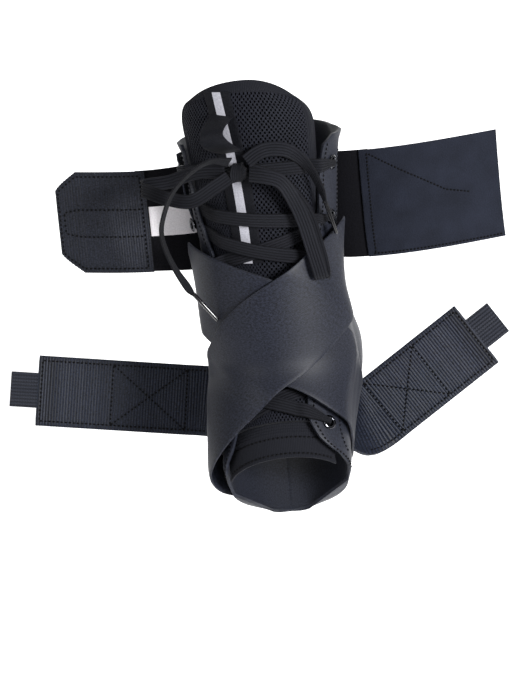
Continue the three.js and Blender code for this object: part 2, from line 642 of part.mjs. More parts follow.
// Bow loops and free ends of the lace, by chosen points. turn is the direction of the lace's width
// in the plane that faces the instep, from +X towards the shin, and edge is how far the lace is
// turned edge-on to it, in degrees.
const bowRoutes = {
  bow_loop_left: [
    { x: -21.8, y: 11.9, z: 134.2, turn: 130, edge: 10 },
    { x: -32.5, y: 7.1, z: 130.5, turn: 128, edge: 0 },
    { x: -47.5, y: 4.6, z: 123, turn: 105, edge: 0 },
    { x: -62.3, y: 12.3, z: 120, turn: 88, edge: 0 },
    { x: -74.5, y: 21.6, z: 118.9, turn: 88, edge: 0 },
    { x: -79.5, y: 27.8, z: 116.5, turn: 88, edge: 0 },
    { x: -76.5, y: 33.7, z: 114.7, turn: 88, edge: 0 },
    { x: -61.1, y: 33.5, z: 116.4, turn: 90, edge: 0 },
    { x: -42, y: 24.3, z: 130.3, turn: 96, edge: 0 },
    { x: -24.6, y: 15.8, z: 136.6, turn: 100, edge: 0 },
  ],
  bow_loop_right: [
    { x: -8.6, y: 10, z: 136.5, turn: 95, edge: 0 },
    { x: 1, y: 4.5, z: 138.5, turn: 88, edge: 0 },
    { x: 11, y: 3, z: 134.1, turn: 60, edge: 0 },
    { x: 18.4, y: 1.3, z: 119, turn: 36, edge: 0 },
    { x: 23.7, y: -5.4, z: 105.7, turn: 24, edge: 0 },
    { x: 27.7, y: -13.5, z: 90.8, turn: 18, edge: 0 },
    { x: 31.5, y: -23.9, z: 78, turn: 10, edge: 0 },
    { x: 32.5, y: -24, z: 72.5, turn: 5, edge: 0 },
    { x: 34, y: -18.5, z: 74.5, turn: 10, edge: 0 },
    { x: 31, y: -9.5, z: 90, turn: 18, edge: 0 },
    { x: 24.6, y: 4, z: 108.3, turn: 28, edge: 0 },
    { x: 10, y: 8.5, z: 130.5, turn: 55, edge: 0 },
    { x: -7.6, y: 14, z: 136.6, turn: 85, edge: 0 },
  ],
  lace_end_left: [
    { x: -20.6, y: 16.6, z: 142.9, turn: 100, edge: 60 },
    { x: -33.4, y: 14, z: 146.9, turn: 100, edge: 78 },
    { x: -47, y: 9.7, z: 141.8, turn: 120, edge: 82 },
    { x: -59.2, y: 5, z: 130.5, turn: 140, edge: 82 },
    { x: -66.6, y: 3, z: 112.5, turn: 160, edge: 82 },
    { x: -68.9, y: 1.7, z: 99.3, turn: 175, edge: 80 },
    { x: -66.8, y: -2.4, z: 86.8, turn: 195, edge: 76 },
    { x: -61.6, y: -9.2, z: 75.3, turn: 205, edge: 70 },
    { x: -54.8, y: -14, z: 63.5, turn: 210, edge: 60 },
    { x: -51.2, y: -16.6, z: 59.5, turn: 210, edge: 55 },
  ],
  lace_end_right: [
    { x: -9.8, y: 17, z: 142, turn: 115, edge: 10 },
    { x: -2, y: 18.5, z: 147, turn: 110, edge: 0 },
    { x: 6.1, y: 20.6, z: 147.5, turn: 95, edge: 0 },
    { x: 16.4, y: 20.5, z: 145.6, turn: 72, edge: 20 },
    { x: 25, y: 20.4, z: 137.5, turn: 48, edge: 45 },
    { x: 31.6, y: 16.5, z: 129.2, turn: 30, edge: 62 },
    { x: 36.4, y: 12.4, z: 118, turn: 20, edge: 68 },
    { x: 39.2, y: 8.6, z: 108, turn: 18, edge: 65 },
  ],
};
const facing = new THREE.Vector3(0, -Math.SQRT1_2, Math.SQRT1_2);
const shinward = new THREE.Vector3(0, Math.SQRT1_2, Math.SQRT1_2);
const routeSteps = 2; // stations between two chosen points
function bowLace(route, endWidth) {
  const count = (route.length - 1) * routeSteps;
  return ribbon(Array.from({ length: count + 1 }, (_, i) => {
    const { x, y, z, turn, edge } = rowAt(route, i / routeSteps);
    const flat = sideways.clone().multiplyScalar(Math.cos(radians(turn)));
    flat.addScaledVector(shinward, Math.sin(radians(turn))).multiplyScalar(Math.cos(radians(edge)));
    const wide = flat.addScaledVector(facing, Math.sin(radians(edge)));
    const width = laceWidth + (endWidth - laceWidth) * smooth(0.85, 1, i / count);
    return { point: new THREE.Vector3(x, y, z), wide, width, thick: laceWall };
  }));
}
for (const [name, route] of Object.entries(bowRoutes)) {
  const free = name.startsWith("lace_end");
  add(name, bowLace(route, free ? 2 * agletRadius : laceWidth), black, 0.85);
  if (!free) continue;
  const [before, end] = route.slice(-2).map(({ x, y, z }) => new THREE.Vector3(x, y, z));
  const ahead = end.clone().sub(before).normalize();
  const turned = new THREE.Quaternion().setFromUnitVectors(new THREE.Vector3(0, 1, 0), ahead);
  const middle = end.addScaledVector(ahead, agletLength / 2 + skinGap);
  const matrix = new THREE.Matrix4().makeRotationFromQuaternion(turned).setPosition(middle);
  const aglet = closedCylinder(agletRadius, agletLength, 10, matrix);
  add(name.replace("lace_end", "aglet"), aglet, 0x101116, 0.25);
}

// The hook straps that lengthen the crossed straps beyond the sole, each with a pull tab. up and
// toward tell where a strap heads, up the shin and towards the front, as shares of its length. The
// rest of it goes sideways.
const hookStraps = [
  { name: "right", side: 1, path: 1, length: rightHookStrapLength, up: 0.55, toward: 0.02 },
  { name: "left", side: -1, path: -1, length: leftHookStrapLength, up: 0.15, toward: 0.02 },
];
const hookStrapRows = 9;
for (const { name, side, path, length, up, toward } of hookStraps) {
  const at = (row, column) => strapPoint(path, path > 0, row, column, 0.5);
  const [before, end] = [strapRows - 3, strapRows].map((row) => at(row, strapColumns / 2));
  const [inner, outer] = [0, strapColumns].map((column) => at(strapRows, column));
  const across = outer.clone().sub(inner);
  const leaving = end.clone().sub(before).normalize();
  const out = leaving.clone().cross(across).normalize();
  if (out.x * side < 0) out.negate();
  const root = end.addScaledVector(leaving, 2 * skinGap).addScaledVector(out, hookStrapWall / 2 + skinGap);
  leaving.addScaledVector(out, 0.5).normalize();
  const rootWide = across.normalize();
  const heading = sideways.clone().multiplyScalar(side * Math.sqrt(1 - up * up - toward * toward));
  heading.addScaledVector(shinward, up).addScaledVector(facing, toward);
  const freeWide = heading.clone().cross(facing).normalize();
  if (freeWide.dot(rootWide) < 0) freeWide.negate();
  const stations = [];
  let point = root.clone();
  for (let i = 0; i <= hookStrapRows; i++) {
    const share = smooth(0, 0.2, i / hookStrapRows);
    const ahead = leaving.clone().lerp(heading, share).normalize();
    const wide = rootWide.clone().lerp(freeWide, share);
    stations.push({ point: point.clone(), wide, width: hookStrapWidth, thick: hookStrapWall });
    point.addScaledVector(ahead, length / hookStrapRows);
  }
  add(`hook_strap_${name}`, ribbon(stations), 0x22252d, 0.8);
  const last = stations.at(-1);
  const tab = [0, 0.5, 1].map((share) => ({
    point: last.point.clone().addScaledVector(heading, skinGap + share * pullTabLength),
    wide: last.wide,
    width: pullTabWidth,
    thick: pullTabWall,
  }));
  add(`pull_tab_${name}`, ribbon(tab), 0x1b1d24, 0.85);
}

// The ribbon's pull loop
const pullLoopRows = 8;
add("pull_loop", ribbon(Array.from({ length: pullLoopRows + 1 }, (_, i) => {
  const share = i / pullLoopRows;
  const along = pullLoopTop + (pullLoopFoot - pullLoopTop) * share;
  const spot = ribbonSpot((tongueRise - along) / (tongueRise * (1 - ribbonRoute.at(-1).along)));
  const bow = Math.sin(Math.PI * share);
  const lift = tongueTop + ribbonWall * 1.5 + 7 * skinGap + pullLoopReach * bow;
  const { up, across } = slopes(along, spot.round);
  const wide = across.clone().addScaledVector(up, 0.3 * bow);
  return { point: place(along, spot.round - 4 * bow, lift), wide, width: ribbonWidth, thick: ribbonWall };
})), 0x17181d, 0.8);

// Strips of loop cloth down the sides of the quarters
const patchRows = 8;
const patchColumns = 3;
for (const [name, side] of sides) {
  add(`side_patch_${name}`, wall(patchRows, patchColumns, (i, j, skin) => {
    const along = sidePatchRise + (sidePatchFoot - sidePatchRise) * (i / patchRows);
    const round = sidePatchMiddle + sidePatchWidth * (j / patchColumns - 0.5);
    return place(along, side * round, quarterTop(along, side * round) + 2 * skinGap + skin * sidePatchWall);
  }), 0x20242e, 0.95);
}

// The cuff lies on the quarters behind the leg and is spread to both sides. out, front and rise tell
// where its middle line runs from there, as shares of its reach.
const cuffSpread = [
  { out: 0, front: 0, rise: 0 },
  { out: 0.14, front: 0.11, rise: 0 },
  { out: 0.3, front: 0.16, rise: 0.006 },
  { out: 0.47, front: 0.178, rise: 0.014 },
  { out: 0.65, front: 0.17, rise: 0.024 },
  { out: 0.82, front: 0.145, rise: 0.034 },
  { out: 1.0, front: 0.105, rise: 0.044 },
];
const cuffLift = 4 * skinGap + sidePatchWall;
// A point of the cuff: from 0 at the back to 1 at its far end on one side, at a height above its
// middle line, and at a distance in front of its inner face.
function cuffPoint(side, reach, distance, height, lift) {
  const narrowing = side < 0 ? leftCuffNarrowing * smooth(cuffWrap, cuffWrap + reach / 2, distance) : 0;
  const along = cuffRise + height * (1 - narrowing);
  const wrapped = Math.min(distance, cuffWrap);
  const round = side * (halfGirth(along) - wrapped);
  const under = quarterTop(along, round) + cuffLift;
  if (distance <= cuffWrap) return place(along, round, under + lift);
  const row = rowAt(cuffSpread, Math.min((distance - cuffWrap) / reach, 1) * (cuffSpread.length - 1));
  const back = ((distance - cuffWrap) / reach) * (cuffSpread.length - 1) - 0.3;
  const before = rowAt(cuffSpread, Math.max(back, 0));
  const ahead = new THREE.Vector2(row.out - before.out, row.front - before.front).normalize();
  const { out } = slopes(along, round);
  const free = Math.min((distance - cuffWrap) / 12, 1);
  const flat = sideways.clone().multiplyScalar(side * ahead.y).addScaledVector(legFront, -ahead.x);
  const face = out.clone().lerp(flat, free).normalize();
  const spread = place(along, round, under);
  spread.addScaledVector(sideways, side * row.out * reach).addScaledVector(legFront, row.front * reach);
  return spread.addScaledVector(legUp, row.rise * reach).addScaledVector(face, lift);
}
const cuffRows = 4;
const cuffStep = 7;
function cuffPiece(side, reach, start, end, near, thick, half = () => cuffHeight / 2) {
  const columns = Math.ceil((end - start) / cuffStep);
  return wall(cuffRows, columns, (i, j, skin) => {
    const distance = start + ((end - start) * j) / columns;
    return cuffPoint(side, reach, distance, half(distance) * ((2 * i) / cuffRows - 1), near + skin * thick);
  });
}
const cuffEnds = { left: cuffWrap + cuffLeftReach, right: cuffWrap + cuffRightReach };
const bandEnds = {
  left: cuffEnds.left - hookPatchLength + endLap,
  right: cuffEnds.right - panelLength + endLap,
};
const bandColumns = 24;
add("cuff_band", wall(cuffRows, bandColumns, (i, j, skin) => {
  const from = -bandEnds.left + ((bandEnds.left + bandEnds.right) * j) / bandColumns;
  const [side, reach] = from < 0 ? [-1, cuffLeftReach] : [1, cuffRightReach];
  return cuffPoint(side, reach, Math.abs(from), (cuffHeight / 2) * ((2 * i) / cuffRows - 1), skin * cuffWall);
}), 0x17181e, 0.8);
const cornerCut = (distance) => cuffHeight / 2 - Math.max(0, distance - cuffEnds.left + hookPatchCorner);
const inFront = -skinGap;
const hookPatchStart = cuffEnds.left - hookPatchLength;
add("hook_patch", cuffPiece(-1, cuffLeftReach, hookPatchStart, cuffEnds.left,
  inFront - hookPatchWall, hookPatchWall, cornerCut), 0x1c1e25, 0.8);
add("cuff_panel", cuffPiece(1, cuffRightReach, cuffEnds.right - panelLength, cuffEnds.right,
  inFront - panelWall, panelWall), 0x20242e, 0.95);
const labelEnd = hookPatchStart - 2 * skinGap;
add("cuff_label", cuffPiece(-1, cuffLeftReach, labelEnd - labelLength, labelEnd,
  inFront - labelWall, labelWall, () => labelHeight / 2), 0xd8d4d8, 0.7);

export default brace;
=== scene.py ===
# A lace-up ankle brace with its straps and cuff spread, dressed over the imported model.
# Sizes in the tables are millimetres, as on the pattern, and pieces are made in metres.
import math
import bpy
import numpy as np
from mathutils import Matrix, Vector


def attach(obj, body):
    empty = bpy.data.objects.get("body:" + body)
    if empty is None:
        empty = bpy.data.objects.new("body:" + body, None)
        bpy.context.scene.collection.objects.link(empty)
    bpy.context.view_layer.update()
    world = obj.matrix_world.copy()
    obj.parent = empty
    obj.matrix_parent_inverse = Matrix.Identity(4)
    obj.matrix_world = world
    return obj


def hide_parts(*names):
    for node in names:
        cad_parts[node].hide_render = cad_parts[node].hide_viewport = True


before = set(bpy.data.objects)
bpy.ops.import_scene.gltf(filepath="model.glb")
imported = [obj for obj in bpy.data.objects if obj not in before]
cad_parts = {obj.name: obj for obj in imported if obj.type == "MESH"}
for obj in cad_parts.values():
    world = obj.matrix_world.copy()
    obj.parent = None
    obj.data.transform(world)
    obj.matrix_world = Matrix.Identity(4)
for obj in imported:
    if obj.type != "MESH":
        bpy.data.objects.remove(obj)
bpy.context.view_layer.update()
scene = bpy.context.scene
print("frame loaded")

# Camera, floor and light
view = {"pitch": 45, "roll": 5, "distance": 1.5, "across": -0.0127, "up": -0.005, "sensor": 24,
        "focalPixels": 2198.5, "pixelsHigh": 688}
pitch = math.radians(view["pitch"])
toCamera = Vector((0, -math.cos(pitch), math.sin(pitch)))
shinward = Vector((0, math.sin(pitch), math.cos(pitch)))
roll = math.radians(view["roll"])
right = Vector((1, 0, 0)) * math.cos(roll) - shinward * math.sin(roll)
above = Vector((1, 0, 0)) * math.sin(roll) + shinward * math.cos(roll)
bpy.ops.object.camera_add()
camera = bpy.context.object
lens = camera.data
lens.sensor_fit = "VERTICAL"
lens.sensor_height = view["sensor"]
lens.lens = view["sensor"] * view["focalPixels"] / view["pixelsHigh"]
turned = Matrix((right, above, toCamera)).transposed().to_4x4()
spot = Vector((view["across"], 0, 0)) + shinward * view["up"] + toCamera * view["distance"]
camera.matrix_world = Matrix.Translation(spot) @ turned
scene.camera = camera

studio = {"floorHeight": -0.32, "floorSize": 12, "world": 0.27, "floorGlow": 0.5, "aim": (0, 0, 0.03)}
bpy.ops.mesh.primitive_plane_add(size=studio["floorSize"], location=(0, 0, studio["floorHeight"]))
floor = bpy.context.object
floor.name = "studioFloor"
lamps = [
    # name, place, size, watts
    ("keyLamp", (0.95, -0.95, 1.0), 0.5, 44),
    ("fillLamp", (-1.2, -0.7, 1.1), 1.0, 10),
    ("backLamp", (0.3, 1.3, 1.0), 1.2, 16),
]
for name, place, size, watts in lamps:
    bpy.ops.object.light_add(type="AREA", location=place)
    lamp = bpy.context.object
    lamp.name = name
    lamp.data.size = size
    lamp.data.energy = watts
    lamp.rotation_euler = (Vector(studio["aim"]) - Vector(place)).to_track_quat("-Z", "Y").to_euler()
sky = bpy.data.worlds.new("studioSky")
scene.world = sky
sky.use_nodes = True
skyNodes = sky.node_tree.nodes
glow, backdrop = skyNodes["Background"], skyNodes.new("ShaderNodeBackground")
glow.inputs["Color"].default_value = (1, 1, 1, 1)
glow.inputs["Strength"].default_value = studio["world"]
backdrop.inputs["Color"].default_value = (1, 1, 1, 1)
rays, blend = skyNodes.new("ShaderNodeLightPath"), skyNodes.new("ShaderNodeMixShader")
skyLinks = [
    (rays.outputs["Is Camera Ray"], blend.inputs[0]), (glow.outputs[0], blend.inputs[1]),
    (backdrop.outputs[0], blend.inputs[2]), (blend.outputs[0], skyNodes["World Output"].inputs["Surface"]),
]
for source, target in skyLinks:
    sky.node_tree.links.new(source, target)
scene.view_settings.view_transform = "Standard"
print("camera, floor and lamps placed")

# The form that the brace is laced on, the same as the pattern's
ankle = {"width": 82, "depth": 92, "high": 74, "instep": 92, "foot": 122, "leg": 190, "lean": 30}
legRows = [
    # up the leg, front, back, half width, outer bulge
    (1.0, 0.55, 0.66, 0.61, 0), (0.76, 0.52, 0.61, 0.585, 0), (0.51, 0.49, 0.54, 0.54, 0),
    (0.29, 0.475, 0.49, 0.49, 0.05), (0.11, 0.485, 0.5, 0.49, 0.17),
]
footRows = [
    # instep along and high, heel or sole along and high, half width, squareness, outer bulge
    (0.3, 1.1, -0.475, 0.5, 0.49, 2, 0.31), (0.355, 1.0, -0.49, 0.24, 0.485, 2, 0.42),
    (0.41, 0.935, -0.345, 0.01, 0.5, 2.1, 0.36), (0.475, 0.88, -0.04, 0.0, 0.51, 2.15, 0.2),
    (0.575, 0.815, 0.29, 0.0, 0.505, 2.15, 0.07), (0.705, 0.73, 0.56, 0.0, 0.485, 2.15, 0.01),
    (0.85, 0.63, 0.78, 0.0, 0.455, 2.15, 0), (1.0, 0.53, 0.985, 0.0, 0.44, 2.15, 0),
]
lean = math.radians(ankle["lean"])
legUp = np.array((0, math.sin(lean), math.cos(lean)))
legFront = np.array((0, -math.cos(lean), math.sin(lean)))
sideways = np.array((1.0, 0, 0))
facing, shinUp = np.array(toCamera), np.array(shinward)


def makeSections():
    rows = []
    for up, front, back, half, outer in legRows:
        top = legUp * up * ankle["leg"] + legFront * front * ankle["depth"]
        heel = legUp * up * ankle["leg"] - legFront * back * ankle["depth"]
        rows.append((top[1], top[2], heel[1], heel[2], half * ankle["width"], 2, outer))
    for topAlong, topHigh, soleAlong, soleHigh, half, flat, outer in footRows:
        rows.append((-topAlong * ankle["foot"], topHigh * ankle["instep"] - ankle["high"],
                     -soleAlong * ankle["foot"], soleHigh * ankle["instep"] - ankle["high"],
                     half * ankle["width"], flat, outer))
    return np.array(rows)


sections = makeSections()
turns = np.pi * np.arange(61) / 60


def rowsAt(table, place):  # rows between a table's rows, on smooth curves
    last = len(table) - 1
    i = np.clip(np.floor(place).astype(int), 0, last - 1)
    t = (place - i)[..., None]
    a, b, c, d = (table[np.clip(i + n, 0, last)] for n in (-1, 0, 1, 2))
    return b + 0.5 * t * (c - a + t * (2 * a - 5 * b + 4 * c - d + t * (3 * (b - c) + d - a)))


def smooth(low, high, x):
    t = np.clip((x - low) / (high - low), 0, 1)
    return t * t * (3 - 2 * t)


def unit(v):
    return v / np.linalg.norm(v, axis=-1, keepdims=True)


def halfSections(place):
    topY, topZ, soleY, soleZ, half, flat, outer = rowsAt(sections, place).T[:, :, None]
    power = 2 / np.where(turns < np.pi / 2, 2, flat)
    across = np.abs(np.sin(turns)) ** power * half
    down = 0.5 - 0.5 * np.sign(np.cos(turns)) * np.abs(np.cos(turns)) ** power
    points = np.stack([across, topY + (soleY - topY) * down, topZ + (soleZ - topZ) * down], -1)
    steps = np.linalg.norm(np.diff(points, axis=1), axis=2)
    girth = np.concatenate([np.zeros((len(place), 1)), np.cumsum(steps, axis=1)], axis=1)
    return points, girth, 1 + outer[:, 0]


frontPlaces = np.arange((len(sections) - 1) * 40 + 1) / 40
frontLine = rowsAt(sections, frontPlaces)[:, :2]
frontDown = np.concatenate([[0], np.cumsum(np.linalg.norm(np.diff(frontLine, axis=0), axis=1))])
bendDown = frontDown[(len(legRows) + 1) * 40]


def placesOf(along):
    return np.interp(bendDown - along, frontDown, frontPlaces)


def halfGirth(along):
    return halfSections(placesOf(np.atleast_1d(along)))[1][:, -1]


def formPoints(along, around):  # along goes up the shin from the bend, around goes round from its middle
    along, around = np.broadcast_arrays(np.asarray(along, float), np.asarray(around, float))
    keys, which = np.unique(np.rint(placesOf(along.ravel()) * 2000), return_inverse=True)
    points, girth, outer = halfSections(keys / 2000)
    total = girth[which, -1]
    local = around.ravel() - np.rint(around.ravel() / (2 * total)) * 2 * total
    far = np.minimum(np.abs(local), total)
    rows = girth[which]
    i = 1 + (rows[:, 1:-1] < far[:, None]).sum(1)
    n = np.arange(len(i))
    share = ((far - rows[n, i - 1]) / (rows[n, i] - rows[n, i - 1]))[:, None]
    made = points[which, i - 1] * (1 - share) + points[which, i] * share
    made[:, 0] *= np.where(local < 0, -1, outer[which])
    return made.reshape(along.shape + (3,))


def slopes(along, around):
    up = (formPoints(along + 1.5, around) - formPoints(along - 1.5, around)) / 3
    across = (formPoints(along, around + 1.5) - formPoints(along, around - 1.5)) / 3
    return up, across, unit(np.cross(across, up))


def lifted(along, around, lift):
    return formPoints(along, around) + slopes(along, around)[2] * np.asarray(lift)[..., None]


def walk(along, around, ahead, distance):  # straight on over the form
    for _ in range(7):
        up, across, out = slopes(along, around)
        ahead = unit(ahead - out * (ahead * out).sum(-1, keepdims=True))
        a, b, c = (up * up).sum(-1), (up * across).sum(-1), (across * across).sum(-1)
        p, q = (up * ahead).sum(-1), (across * ahead).sum(-1)
        scale = distance / 7 / (a * c - b * b)
        along = along + (p * c - q * b) * scale
        around = around + (q * a - p * b) * scale
    return along, around


# Layers over the form, from the tongue out to the straps
layer = {"gap": 0.3, "quarter": 2, "rise": 146, "fall": 68, "tongue": 3.6, "tongueHalf": 45, "lace": 1,
         "laceRoom": 1.2, "slope": 24, "inset": 11, "flange": 4.9, "seat": 0.9, "flangeWall": 0.5,
         "shift": 0.14, "flare": 0.42}
tongueTop = layer["gap"] + layer["tongue"]
gapRows = np.array([
    # along, half the lacing gap, where its middle lies
    (1.0, 1.22, -0.1), (0.97, 1.08, -0.17), (0.88, 1.0, -0.2), (0.65, 0.84, -0.14), (0.46, 0.64, -0.12),
    (0.26, 0.53, -0.11), (0.07, 0.49, -0.12), (-0.32, 0.46, -0.15), (-0.62, 0.48, -0.16), (-0.8, 0.61, -0.15),
    (-0.89, 0.83, -0.13), (-0.97, 1.35, -0.08), (-1.0, 2.1, 0),
])


def shareOf(share):
    return share * np.where(share > 0, layer["rise"], layer["fall"])


def gapAt(along, side):
    place = np.interp(-np.asarray(along, float), -shareOf(gapRows[:, 0]), np.arange(len(gapRows)))
    row = rowsAt(gapRows, place)
    return layer["tongueHalf"] * (row[..., 1] + side * row[..., 2])


def overLacing(along, around):
    side = np.sign(around)
    flare = np.where(side < 0, layer["flare"] * smooth(0.2, 0.6, along / tongue["rise"]), 0)
    down = (tongue["rise"] - along) / (tongue["rise"] + tongue["fall"])
    narrowed = tongue["low"] * smooth(0.5, 0.85, down)
    edge = layer["tongueHalf"] * (1 - side * layer["shift"] + flare - narrowed) + 5
    laced = smooth(-0.9, -0.72, along / layer["fall"])
    edge = edge + laced * np.maximum(0, gapAt(along, side) + layer["inset"] + layer["flange"] - edge)
    return 1 - smooth(edge, edge + layer["slope"], np.abs(around))


def overEyelets(along, around):
    lacingEdge = np.minimum(gapAt(along, np.sign(around)), layer["tongueHalf"])
    edge = lacingEdge + layer["inset"] + layer["flange"] + 2
    return 1 - smooth(edge, edge + layer["slope"] / 2, np.abs(around))


def quarterUnder(along, around):
    rise = layer["tongue"] + layer["lace"] + layer["gap"] + layer["laceRoom"]
    return layer["gap"] + rise * overLacing(along, around)


def quarterTop(along, around):
    return quarterUnder(along, around) + layer["quarter"]


def strapUnder(along, around):
    crossed = layer["seat"] + layer["flangeWall"] + layer["lace"] + 2 * layer["gap"] + layer["laceRoom"]
    return quarterTop(along, around) + 3 * layer["gap"] + crossed * overEyelets(along, around)


# Helpers for the cloth patterns
def addNode(tree, kind, settings=None, **inputs):
    made = tree.nodes.new(kind)
    for key, value in (settings or {}).items():
        setattr(made, key, value)
    for key, value in inputs.items():
        numbered = key[0] == "i" and key[1:].isdigit()
        socket = made.inputs[int(key[1:]) if numbered else key]
        if isinstance(value, bpy.types.NodeSocket):
            tree.links.new(value, socket)
        else:
            socket.default_value = value
    return made


def calc(tree, operation, *values):
    inputs = {f"i{n}": value for n, value in enumerate(values)}
    return addNode(tree, "ShaderNodeMath", {"operation": operation}, **inputs).outputs[0]


def sums(tree):  # adding, taking away and multiplying in one tree
    kinds = ("ADD", "SUBTRACT", "MULTIPLY")
    return [lambda *values, kind=kind: calc(tree, kind, *values) for kind in kinds]


halfTurn = 3.1416


def ripple(tree, place, count, turn=halfTurn):  # rounded ridges, so many to a metre
    wave = calc(tree, "SINE", calc(tree, "MULTIPLY", place, calc(tree, "MULTIPLY", count, turn)))
    return calc(tree, "ABSOLUTE", wave)


def noise(tree, where, scale, detail):
    return addNode(tree, "ShaderNodeTexNoise", {}, Vector=where, Scale=scale, Detail=detail).outputs[0]


def newGroup(name, inputs, outputs):
    group = bpy.data.node_groups.new(name, "ShaderNodeTree")
    for label, kind, value in inputs:
        socket = group.interface.new_socket(label, in_out="INPUT", socket_type=kind)
        if value is not None:
            socket.default_value = value
    for label in outputs:
        group.interface.new_socket(label, in_out="OUTPUT", socket_type="NodeSocketFloat")
    return group, group.nodes.new("NodeGroupInput"), group.nodes.new("NodeGroupOutput")


# Fine cloth grain: crossed threads, a soft uneven tone that differs at random, and ribs with painted shade in
# their valleys
grain = {"threads": 0.3, "speck": 0.6, "speckScale": 1700.0, "cloudScale": 38.0, "fleckScale": 900.0,
         "contrast": 1.6}
grainGroup, taken, given = newGroup("clothGrain", [
    ("Vector", "NodeSocketVector", None), ("Threads", "NodeSocketFloat", 900.0),
    ("Uneven", "NodeSocketFloat", 0.5), ("Ribs", "NodeSocketFloat", 0.0),
    ("Rib Valley Shade", "NodeSocketFloat", 0.0),
], ["Height", "Shade"])
plus, minus, times = sums(grainGroup)
where = taken.outputs["Vector"]
split = addNode(grainGroup, "ShaderNodeSeparateXYZ", Vector=where)
warp, weft = [ripple(grainGroup, split.outputs[axis], taken.outputs["Threads"]) for axis in (0, 1)]
speck = noise(grainGroup, where, grain["speckScale"], 3.0)
cloud = noise(grainGroup, where, grain["cloudScale"], 4.0)
fleck = noise(grainGroup, where, grain["fleckScale"], 1.0)
weave = times(plus(warp, weft), grain["threads"])
grainGroup.links.new(plus(weave, times(speck, grain["speck"])), given.inputs["Height"])
cloudy = times(minus(cloud, 0.5), taken.outputs["Uneven"])
specky = times(minus(plus(speck, fleck), 1.0), grain["contrast"])
plainShade = plus(0.5, plus(cloudy, specky))
# Painted shade: the colour is darkened in the valleys between the ribs and left lighter on their crests
ribWave = ripple(grainGroup, split.outputs[1], taken.outputs["Ribs"])
valleyShade = times(minus(1.0, ribWave), taken.outputs["Rib Valley Shade"])
grainGroup.links.new(times(plainShade, minus(1.0, valleyShade)), given.inputs["Shade"])

# Braid: lengthwise cords with slanted stitches, on the piece's own map; its colour carries painted shade in
# the grooves and is lighter on the crests
braid = {"cords": 0.65, "stitches": 0.3, "fibre": 0.15, "fibreScale": 2600.0, "zigzag": 0.001, "lean": 0.9,
         "dim": 0.55, "fleck": 0.6}
braidGroup, taken, given = newGroup("braidedLace", [
    ("Vector", "NodeSocketVector", None), ("Cords", "NodeSocketFloat", 1000.0),
    ("Slant", "NodeSocketFloat", 700.0),
], ["Height", "Shade"])
plus, minus, times = sums(braidGroup)
where = taken.outputs["Vector"]
split = addNode(braidGroup, "ShaderNodeSeparateXYZ", Vector=where)
cords = ripple(braidGroup, split.outputs[0], taken.outputs["Cords"])
zigzag = calc(braidGroup, "PINGPONG", split.outputs[0], braid["zigzag"])
slanted = plus(split.outputs[1], times(zigzag, braid["lean"]))
stitches = ripple(braidGroup, slanted, taken.outputs["Slant"], 2 * halfTurn)
fibre = noise(braidGroup, where, braid["fibreScale"], 2.0)
raised = plus(times(cords, braid["cords"]), times(stitches, braid["stitches"]))
raised = plus(raised, times(fibre, braid["fibre"]))
braidGroup.links.new(raised, given.inputs["Height"])
# Painted shade: the colour follows the height, darker in the grooves between cords and stitches and lighter
# on the crests, times a random fibre fleck
fibreShade = plus(braid["dim"], times(fibre, braid["fleck"]))
braidGroup.links.new(times(raised, fibreShade), given.inputs["Shade"])

# Nap: short pile whose colour carries painted sheen, lighter in patches and where the pile stands higher, as
# where it catches the light
nap = {"tuftScale": 0.6, "tufts": 0.5, "sheenPatches": 0.6}
napGroup, taken, given = newGroup("napPile", [
    ("Vector", "NodeSocketVector", None), ("Pile", "NodeSocketFloat", 1500.0),
    ("Patches", "NodeSocketFloat", 60.0),
], ["Height", "Shade"])
plus, minus, times = sums(napGroup)
where = taken.outputs["Vector"]
pile = noise(napGroup, where, taken.outputs["Pile"], 3.0)
tuftScale = times(taken.outputs["Pile"], nap["tuftScale"])
tufts = addNode(napGroup, "ShaderNodeTexVoronoi", {}, Vector=where, Scale=tuftScale)
patch = noise(napGroup, where, taken.outputs["Patches"], 3.0)
napGroup.links.new(plus(pile, times(tufts.outputs["Distance"], nap["tufts"])), given.inputs["Height"])
# Painted sheen: random patches and the higher pile are made lighter in the colour
sheenPatches = times(minus(patch, 0.5), nap["sheenPatches"])
napGroup.links.new(plus(plus(0.5, sheenPatches), minus(pile, 0.5)), given.inputs["Shade"])


def hexColor(text):
    parts = [int(text[i:i + 2], 16) / 255 for i in (0, 2, 4)]
    return [((c + 0.055) / 1.055) ** 2.4 if c > 0.04045 else c / 12.92 for c in parts] + [1]


def newMaterial(name, dark, light, rough, finish, coords="UV", group=None, settings=None,
                bump=0.3, depth=0.0002, mask=None):
    material = bpy.data.materials.new(name)
    material.use_nodes = True
    tree = material.node_tree
    skin = tree.nodes["Principled BSDF"]
    for label, value in {"Roughness": rough, **finish}.items():
        skin.inputs[label].default_value = value
    where = addNode(tree, "ShaderNodeTexCoord").outputs[coords]
    effect = tree.nodes.new("ShaderNodeGroup")
    effect.node_tree = group or grainGroup
    tree.links.new(where, effect.inputs["Vector"])
    for label, value in (settings or {}).items():
        effect.inputs[label].default_value = value

    def mixed(share, first, second):
        kind = {"data_type": "RGBA"}
        return addNode(tree, "ShaderNodeMix", kind, Factor=share, i6=first, i7=second).outputs[2]

    color = mixed(effect.outputs["Shade"], hexColor(dark), hexColor(light))
    if mask:  # a band of another colour along the piece, between two places across it or along it
        axis, low, high, bandDark, bandLight = mask
        place = addNode(tree, "ShaderNodeSeparateXYZ", Vector=where).outputs[axis]
        above = calc(tree, "GREATER_THAN", place, low)
        inside = calc(tree, "MULTIPLY", above, calc(tree, "LESS_THAN", place, high))
        color = mixed(inside, color, mixed(effect.outputs["Shade"], hexColor(bandDark), hexColor(bandLight)))
    tree.links.new(color, skin.inputs["Base Color"])
    relief = addNode(tree, "ShaderNodeBump", {}, Height=effect.outputs["Height"], Strength=bump,
                     Distance=depth)
    tree.links.new(relief.outputs[0], skin.inputs["Normal"])
    return material


